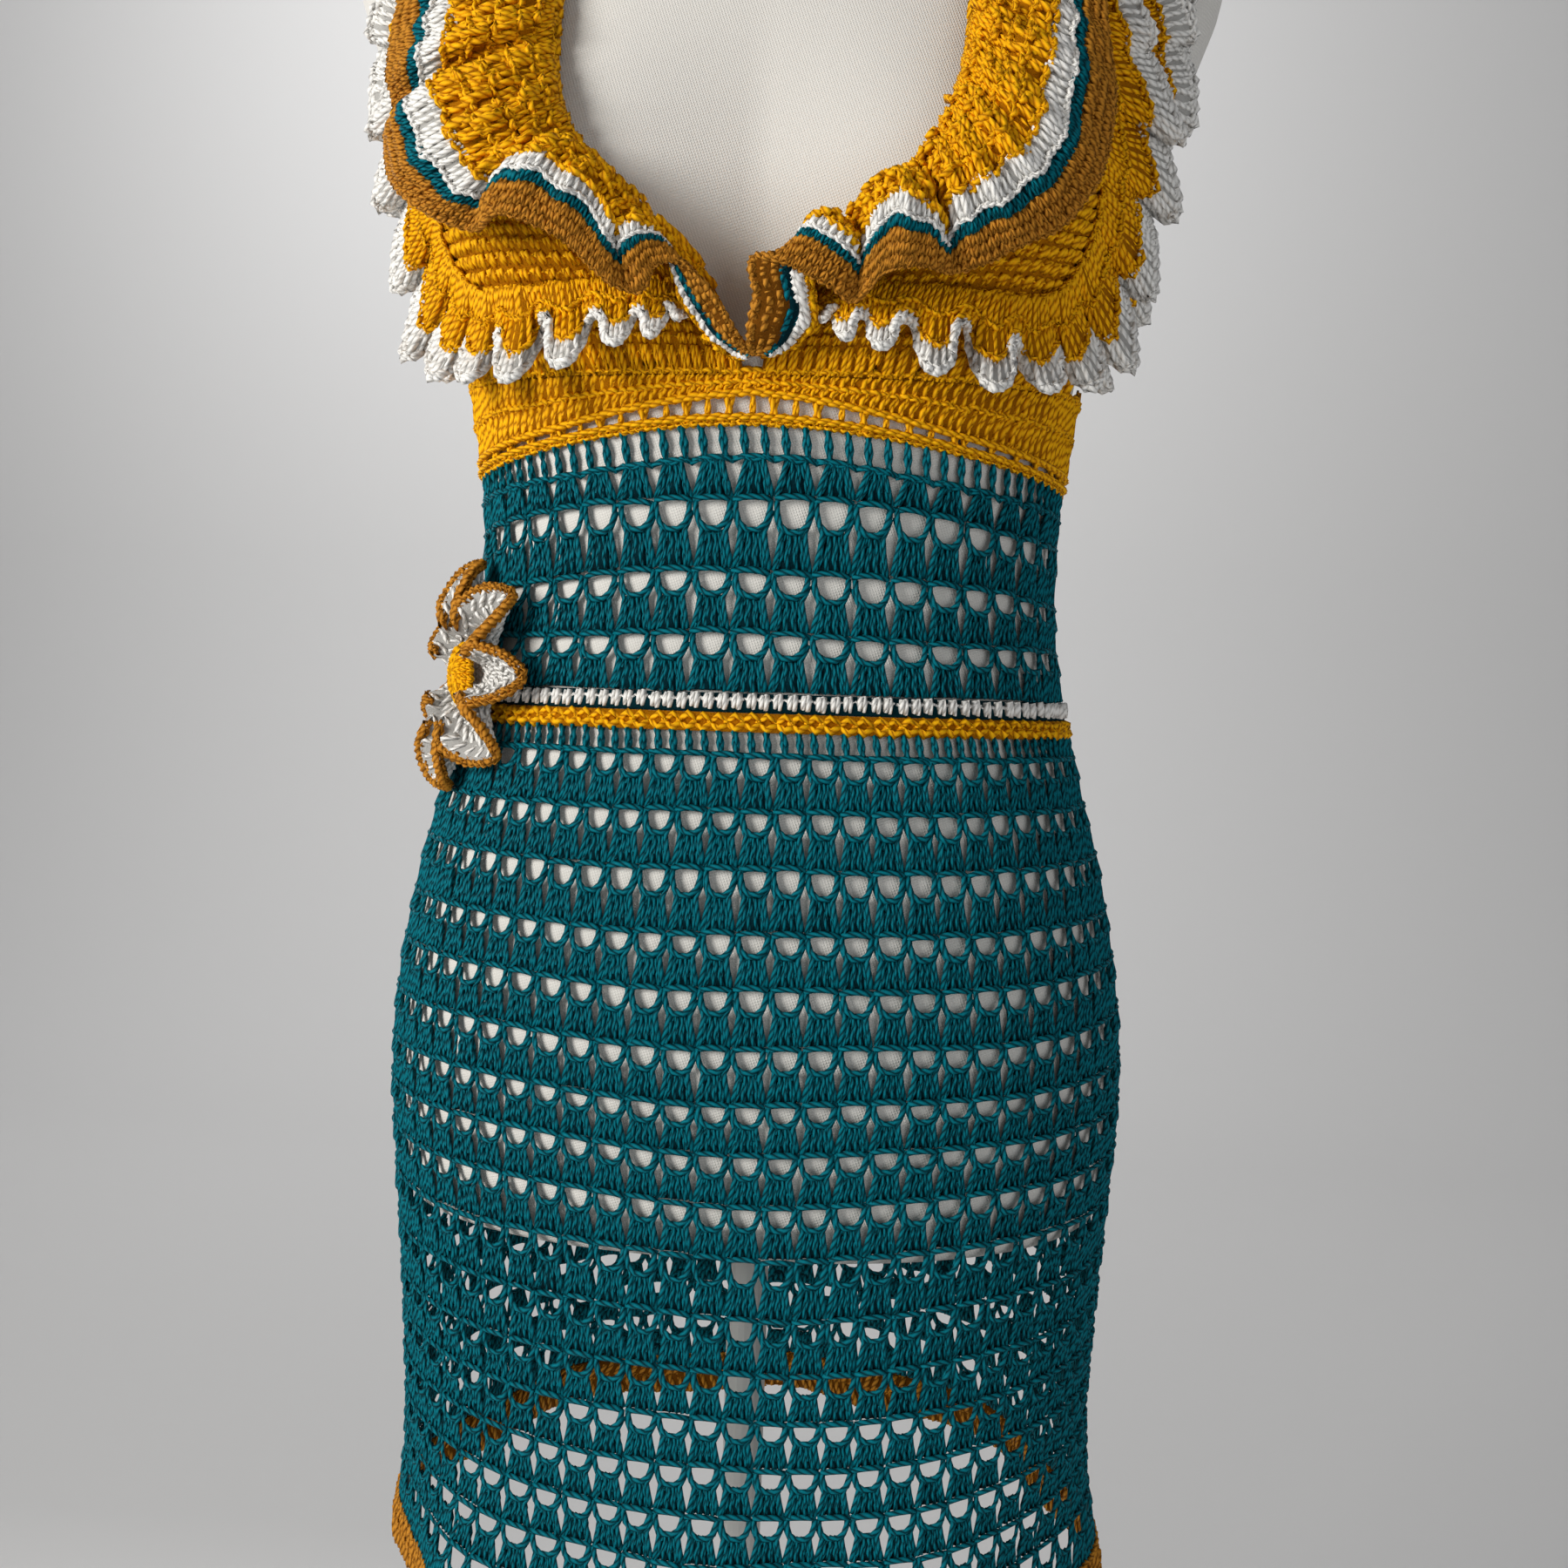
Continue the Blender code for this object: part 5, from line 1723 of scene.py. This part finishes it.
    def build_frill(self, word: str, side: int) -> None:
        """Builds one cup's frill and outer frill, each with its white edge."""
        for kind, waves, drop, lift, table, share, inner, outer in (
            ("frill", 11.5, 1.2, ON_CUP + 0.2 * SEAMS.seam_room, self.frill, 0.70, 120, 150),
            ("arm_frill", 6.5, 0.8, BESIDE_CUP, self.arm_frill, 0.72, 60, 76),
        ):
            surface = Ruffle(side, waves, drop, lift, table).surface()
            cup = (f"cup_{word}",)
            Crochet(f"{kind}_{word}_main", surface, 2, inner, Stitch.DOUBLE, Yarn.MUSTARD,
                    0.00130, (f"{kind}_{word}",), (0.0, share), cup, "gathered",
                    seed=81 + side, core_steps=(160, 2), loose=(0.08, 0.05, 0.0003)).build()
            Crochet(f"{kind}_{word}_white", surface, 1, outer, Stitch.DOUBLE, Yarn.IVORY,
                    0.00140, (f"{kind}_{word}_edge",), (share, 1.0), cup, "gathered",
                    seed=84 + side, core_steps=(200, 1), rim=0.11).build()

    def build(self) -> None:
        """Builds all the ruffles."""
        for side, word in ((1, "left"), (-1, "right")):
            self.build_collar(word, side)
            self.build_frill(word, side)
            Cup(word, side, 65 + side).build()


@dataclass
class Flower:
    """The appliqué flower on the right side at the waist.

    Attributes:
        deg: Angle of its centre on the body.
        faces_deg: Angle that it faces.
        z: Height of its centre.
        reach: Distance of the petals' tips from the centre.
        waist: Distance of the dents between the petals.
        petals: Number of petals.
        rise: How far the petals' sides stand up.
        follow: Share by which the petals follow the body where it falls away.
        hub_share: Where the petals start, as a share of their reach.
        outline_chains: Chain stitches of the corded outline.
        outline_t: Where the outline starts, as t.
        outline_width: Its width, as t.
        centre: Radius of the domed centre.
        centre_rise: Height of its dome.
        centre_seat: How far it stands above the petals' roots.
        centre_share: Share of the way to its middle that is worked.
    """

    deg: float = -67.0
    faces_deg: float = -60.0
    z: float = 1.008
    reach: float = 0.0455
    waist: float = 0.020
    petals: int = 8
    rise: float = 0.0148
    follow: float = 0.55
    hub_share: float = 0.06
    outline_chains: int = 200
    outline_t: float = 0.955
    outline_width: float = 0.085
    centre: float = 0.012
    centre_rise: float = 0.0050
    centre_seat: float = 0.0036
    centre_share: float = 0.96

    def __post_init__(self) -> None:
        """Sets the flower's own directions."""
        turn = math.radians(self.faces_deg)
        self.out = np.array((math.sin(turn), -math.cos(turn), 0.0))
        self.up = np.array((0.0, 0.0, 1.0))
        self.across = np.cross(self.up, self.out)
        self.hub = FORM.around(np.array(self.deg), np.array(self.z),
                               SEAMS.body_clear + SEAMS.cloth)

    def place(self, turn: Array, share: Array) -> Array:
        """Points of the petals.

        Args:
            turn: Angles round the flower's centre, in radians.
            share: Shares of the way from the centre to the rim.

        Returns:
            The points in the middle of the cloth.
        """
        lobe = np.abs(np.cos(0.5 * self.petals * turn)) ** 0.7
        reach = share * (self.waist + (self.reach - self.waist) * lobe)
        flat = (self.across * (reach * np.cos(turn))[..., None]
                + self.up * (reach * np.sin(turn))[..., None])
        spot = self.hub + flat
        deg = np.degrees(np.arctan2(spot[..., 0], -spot[..., 1]))
        body = FORM.around(deg, spot[..., 2], SEAMS.body_clear + SEAMS.cloth)
        depth = (self.hub - body) @ self.out
        depth = depth * np.where(depth > 0, self.follow, 1.0)
        edge = 1.0 - lobe
        cupped = self.rise * share**2 * (0.16 + 0.84 * np.sqrt(np.clip(1.8 * edge, 0, 1)) * share)
        lift = SEAMS.gap + 0.5 * SEAMS.cloth + cupped
        return spot + self.out * (lift - depth)[..., None]

    def build(self) -> None:
        """Builds the petals, their corded outline and the centre."""
        def spread(s: Array, t: Array) -> Array:
            """Points of the petals over the cloth."""
            return self.place(2 * math.pi * s, self.hub_share + (1 - self.hub_share) * t)

        surface = Surface(spread, (480, 20), 1.0, True)
        Crochet("flower_petals_worked", surface, rows=6, stitches=88, stitch=Stitch.DOUBLE,
                yarn=Yarn.IVORY, radius=0.00095, replaces=("flower_petals",),
                rests_on=("net_upper",), seed=91, core_steps=(240, 6)).build()
        cord = Skein(92)
        count = self.outline_chains
        lots = (np.arange(count) + 0.5) / count
        for out in (0.0002, 0.0016):
            braid = [one + (0.0, 0.0, out) for one in Stitch.CHAIN.strands()[0]]
            worked(cord, surface, braid, lots, np.full(count, self.outline_t),
                   (1 / count, self.outline_width), 0.00140, (0.02, 0.02, 0.0002), 3)
        cord.piece("flower_outline", Yarn.CARAMEL)
        self.build_centre()

    def build_centre(self) -> None:
        """Builds the round worked centre."""
        seat = SEAMS.gap + SEAMS.cloth + self.centre_seat

        def dome(s: Array, t: Array) -> Array:
            """Points of the domed centre, from its rim to its middle."""
            turn = 2 * math.pi * s
            reach = self.centre * np.cos(0.5 * math.pi * t * self.centre_share)
            high = seat + self.centre_rise * np.sin(0.5 * math.pi * t)
            return (self.hub + self.out * high[..., None]
                    + self.across * (reach * np.cos(turn))[..., None]
                    + self.up * (reach * np.sin(turn))[..., None])

        surface = Surface(dome, (96, 12), 1.0, True)
        Crochet("flower_centre_worked", surface, rows=4, stitches=24, stitch=Stitch.SINGLE,
                yarn=Yarn.MUSTARD, radius=0.00105, replaces=("flower_centre",),
                span=(0.0, 0.97), rests_on=("flower_petals",), seed=93,
                core_steps=(32, 6)).build()


@dataclass
class Torso:
    """The form's smooth torso under its jersey, and the braid round its arm covers."""

    sides: int = 108
    levels: int = 84
    bevel: float = 0.001
    arm_deg: float = 90.0
    arm_z: float = 1.323
    arm_half_deg: float = 16.0
    arm_half_height: float = 0.074
    arm_thick: float = 0.0040
    braid_share: float = 0.97
    braid_width: float = 0.07
    braid_chains: int = 110
    edge_angle: float = 50.0

    def build(self) -> None:
        """Builds the torso and dresses its covers."""
        jersey = MATERIALS.keep("jersey", JerseyFinish().make)
        degs = np.arange(self.sides) * 360.0 / self.sides
        low, rim, top = FORM.bottom_z, FORM.rim, FORM.top_z
        levels = [(low + up * rim, -away * rim)
                  for up, away in ((0.0, 1.0), (0.12, 0.62), (0.4, 0.28), (1.0, 0.0))]
        levels += [(z, 0.0) for z in np.linspace(low + 2 * rim, top - self.bevel, self.levels)]
        levels += [(top, -self.bevel)]
        rings = [FORM.around(degs, np.full(self.sides, z), out) for z, out in levels]
        index = np.arange(len(rings) * self.sides).reshape(len(rings), self.sides)
        turned = np.roll(index, -1, axis=1)
        quads = np.stack((index[:-1], turned[:-1], turned[1:], index[1:]), axis=-1).reshape(-1, 4)
        made = mesh_piece("form_jersey", np.concatenate(rings),
                          [quads, index[:1, ::-1], index[-1:]], jersey)
        made.data.set_sharp_from_angle(angle=math.radians(self.edge_angle))
        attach(made, "root")
        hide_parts("form_torso")
        for word, side in (("left", 1), ("right", -1)):
            self.build_braid(word, side)
            self.dress(f"form_arm_cover_{word}", jersey)
        self.dress("form_neck_cap", MATERIALS.keep("enamel", EnamelFinish().make))

    @staticmethod
    def dress(node: str, material: bpy.types.Material) -> None:
        """Gives a CAD node a finish."""
        bpy.data.objects[node].material_slots[0].material = material
        log.info("%s: dressed in %s", node, material.name)

    def build_braid(self, word: str, side: int) -> None:
        """Builds the white braid sewn round one arm cover."""
        def place(s: Array, t: Array) -> Array:
            """Points of the braid."""
            turn = 2 * math.pi * s
            share = self.braid_share + self.braid_width * t
            return FORM.laid(side * (self.arm_deg + self.arm_half_deg * share * np.cos(turn)),
                             self.arm_z + self.arm_half_height * share * np.sin(turn),
                             SEAMS.cup_clear + self.arm_thick * (1.15 - 0.9 * t))

        surface = Surface(place, (240, 4), float(side), True)
        skein = Skein(95 + side)
        count = self.braid_chains
        lots = (np.arange(count) + 0.5) / count
        worked(skein, surface, Stitch.CHAIN.strands()[0], lots, np.zeros(count),
               (1 / count, 1.0), 0.0011, (0.02, 0.02, 0.0001))
        skein.piece(f"arm_braid_{word}", Yarn.IVORY)


@dataclass
class Stand:
    """The enamelled stand, whose solids are shown as they are."""

    nodes: tuple[str, ...] = ("stand_base", "stand_socket", "stand_pole", "stand_nut")

    def build(self) -> None:
        """Dresses the stand."""
        enamel = MATERIALS.keep("enamel", EnamelFinish().make)
        for node in self.nodes:
            Torso.dress(node, enamel)


@dataclass
class Studio:
    """Floor, wall, light and the camera at the photograph's angle."""

    focal_px: float = 1820.0
    image_px: float = 1800.0
    distance: float = 0.70
    camera_z: float = 1.003
    tilt: float = 3.14
    azimuth: float = 5.0
    roll: float = 1.8
    axis_px: float = 876.0
    sensor: float = 36.0
    front_y: float = -6.0
    wall_y: float = 4.2
    stage_width: float = 18.0
    wall_height: float = 6.0
    bend: float = 1.4
    bend_steps: int = 12
    world_grey: tuple[float, float, float] = (0.80, 0.80, 0.81)
    world_light: float = 0.25
    clip_start: float = 0.02

    def build_stage(self) -> None:
        """Models a floor that curves up into a wall: a plane, extruded and bevelled."""
        span = self.wall_y - self.front_y
        bpy.ops.mesh.primitive_plane_add(
            size=1.0, location=(0.0, 0.5 * (self.front_y + self.wall_y), 0.0))
        stage = bpy.context.object
        stage.name = "studio_sweep"
        stage.scale = (self.stage_width, span, 1.0)
        bpy.ops.object.transform_apply(location=True, rotation=False, scale=True)
        self.choose_back_edge(stage.data)
        bpy.ops.mesh.extrude_region_move(
            TRANSFORM_OT_translate={"value": (0.0, 0.0, self.wall_height)})
        bpy.ops.object.mode_set(mode="OBJECT")
        self.choose_back_edge(stage.data)
        bpy.ops.mesh.bevel(offset=self.bend, segments=self.bend_steps, profile=0.5)
        bpy.ops.object.mode_set(mode="OBJECT")
        bpy.ops.object.shade_smooth()
        stage.data.materials.append(StudioFinish().make())
        log.info("%s: %d faces", stage.name, len(stage.data.polygons))

    def choose_back_edge(self, mesh: bpy.types.Mesh) -> None:
        """Selects the edge between floor and wall and goes on in edit mode.

        Args:
            mesh: The stage's mesh.
        """
        near = 0.01
        bpy.ops.object.mode_set(mode="EDIT")
        bpy.ops.mesh.select_mode(type="EDGE")
        bpy.ops.mesh.select_all(action="DESELECT")
        bpy.ops.object.mode_set(mode="OBJECT")
        for edge in mesh.edges:
            ends = [mesh.vertices[n].co for n in edge.vertices]
            edge.select = all(end.y > self.wall_y - near and end.z < near for end in ends)
        bpy.ops.object.mode_set(mode="EDIT")

    def build_light(self) -> None:
        """Adds a soft key from the front left, a weak fill, a rim, a wall lamp and a grey world."""
        for name, place, aim, size, power, colour in (  # metres and watts
            ("key", (-1.52, -1.36, 1.45), (0.0, 0.0, 1.02), 0.9, 44.0, (1.0, 0.98, 0.945)),
            ("fill", (1.4, -1.5, 0.75), (0.0, 0.0, 1.0), 1.6, 10.0, (0.95, 0.97, 1.0)),
            ("rim", (-0.8, 1.1, 1.4), (-0.8, 0.0, 1.4), 0.9, 8.0, (1.0, 0.98, 0.96)),
            ("wall", (-1.0, 1.8, 3.6), (-0.4, 4.2, 2.6), 2.0, 63.0, (1.0, 0.99, 0.98)),
        ):
            lamp = bpy.data.lights.new(name, "AREA")
            lamp.energy, lamp.size, lamp.color = power, size, colour
            made = bpy.data.objects.new(name, lamp)
            back = unit(np.array(place) - np.array(aim))
            right = unit(np.cross((0.0, 0.0, 1.0), back))
            made.matrix_world = self.frame_of(np.array(place), right, np.cross(back, right), back)
            bpy.context.scene.collection.objects.link(made)
        world = bpy.data.worlds.new("studio")
        world.use_nodes = True
        back = world.node_tree.nodes["Background"].inputs
        back["Color"].default_value = rgba(self.world_grey)
        back["Strength"].default_value = self.world_light
        bpy.context.scene.world = world
        bpy.context.scene.view_settings.view_transform = "Standard"

    @staticmethod
    def frame_of(place: Array, right: Array, up: Array, back: Array) -> Matrix:
        """Makes a matrix from a place and three directions.

        Args:
            place: The origin.
            right: Direction of the local X axis.
            up: Direction of the local Y axis.
            back: Direction of the local Z axis, against the view.

        Returns:
            The matrix.
        """
        rows = np.stack((right, up, back, place), axis=1).tolist()
        return Matrix([*rows, (0.0, 0.0, 0.0, 1.0)])

    def build_camera(self) -> None:
        """Sets the camera as it stood for the photograph."""
        turn = math.radians(self.azimuth)
        place = np.array((self.distance * math.sin(turn), -self.distance * math.cos(turn),
                          self.camera_z))
        yaw = turn - math.atan((0.5 * self.image_px - self.axis_px) / self.focal_px)
        tilt, roll = math.radians(self.tilt), math.radians(self.roll)
        ahead = np.array((-math.sin(yaw) * math.cos(tilt), math.cos(yaw) * math.cos(tilt),
                          -math.sin(tilt)))
        level = np.array((math.cos(yaw), math.sin(yaw), 0.0))
        above = np.cross(level, ahead)
        right = math.cos(roll) * level + math.sin(roll) * above
        up = -math.sin(roll) * level + math.cos(roll) * above
        lens = bpy.data.cameras.new("camera")
        lens.sensor_width = self.sensor
        lens.lens = self.focal_px / self.image_px * self.sensor
        lens.clip_start = self.clip_start
        camera = bpy.data.objects.new("camera", lens)
        camera.matrix_world = self.frame_of(place, right, up, -ahead)
        bpy.context.scene.collection.objects.link(camera)
        bpy.context.scene.camera = camera

    def build(self) -> None:
        """Builds the studio."""
        self.build_stage()
        self.build_light()
        self.build_camera()


def main() -> None:
    """Builds the studio, the form and every piece of the dress."""
    logging.basicConfig(level=logging.INFO, format="%(message)s", stream=sys.stdout,
                        force=True)
    Studio().build()
    Torso().build()
    Stand().build()
    net = NetBody()
    net.build_upper()
    net.build_skirt()
    WaistAndHem().build()
    BustBand().build()
    BackTrim().build()
    NeckStrap().build()
    Ruffles().build()
    Flower().build()
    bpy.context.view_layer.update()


if __name__ == "__main__":
    main()
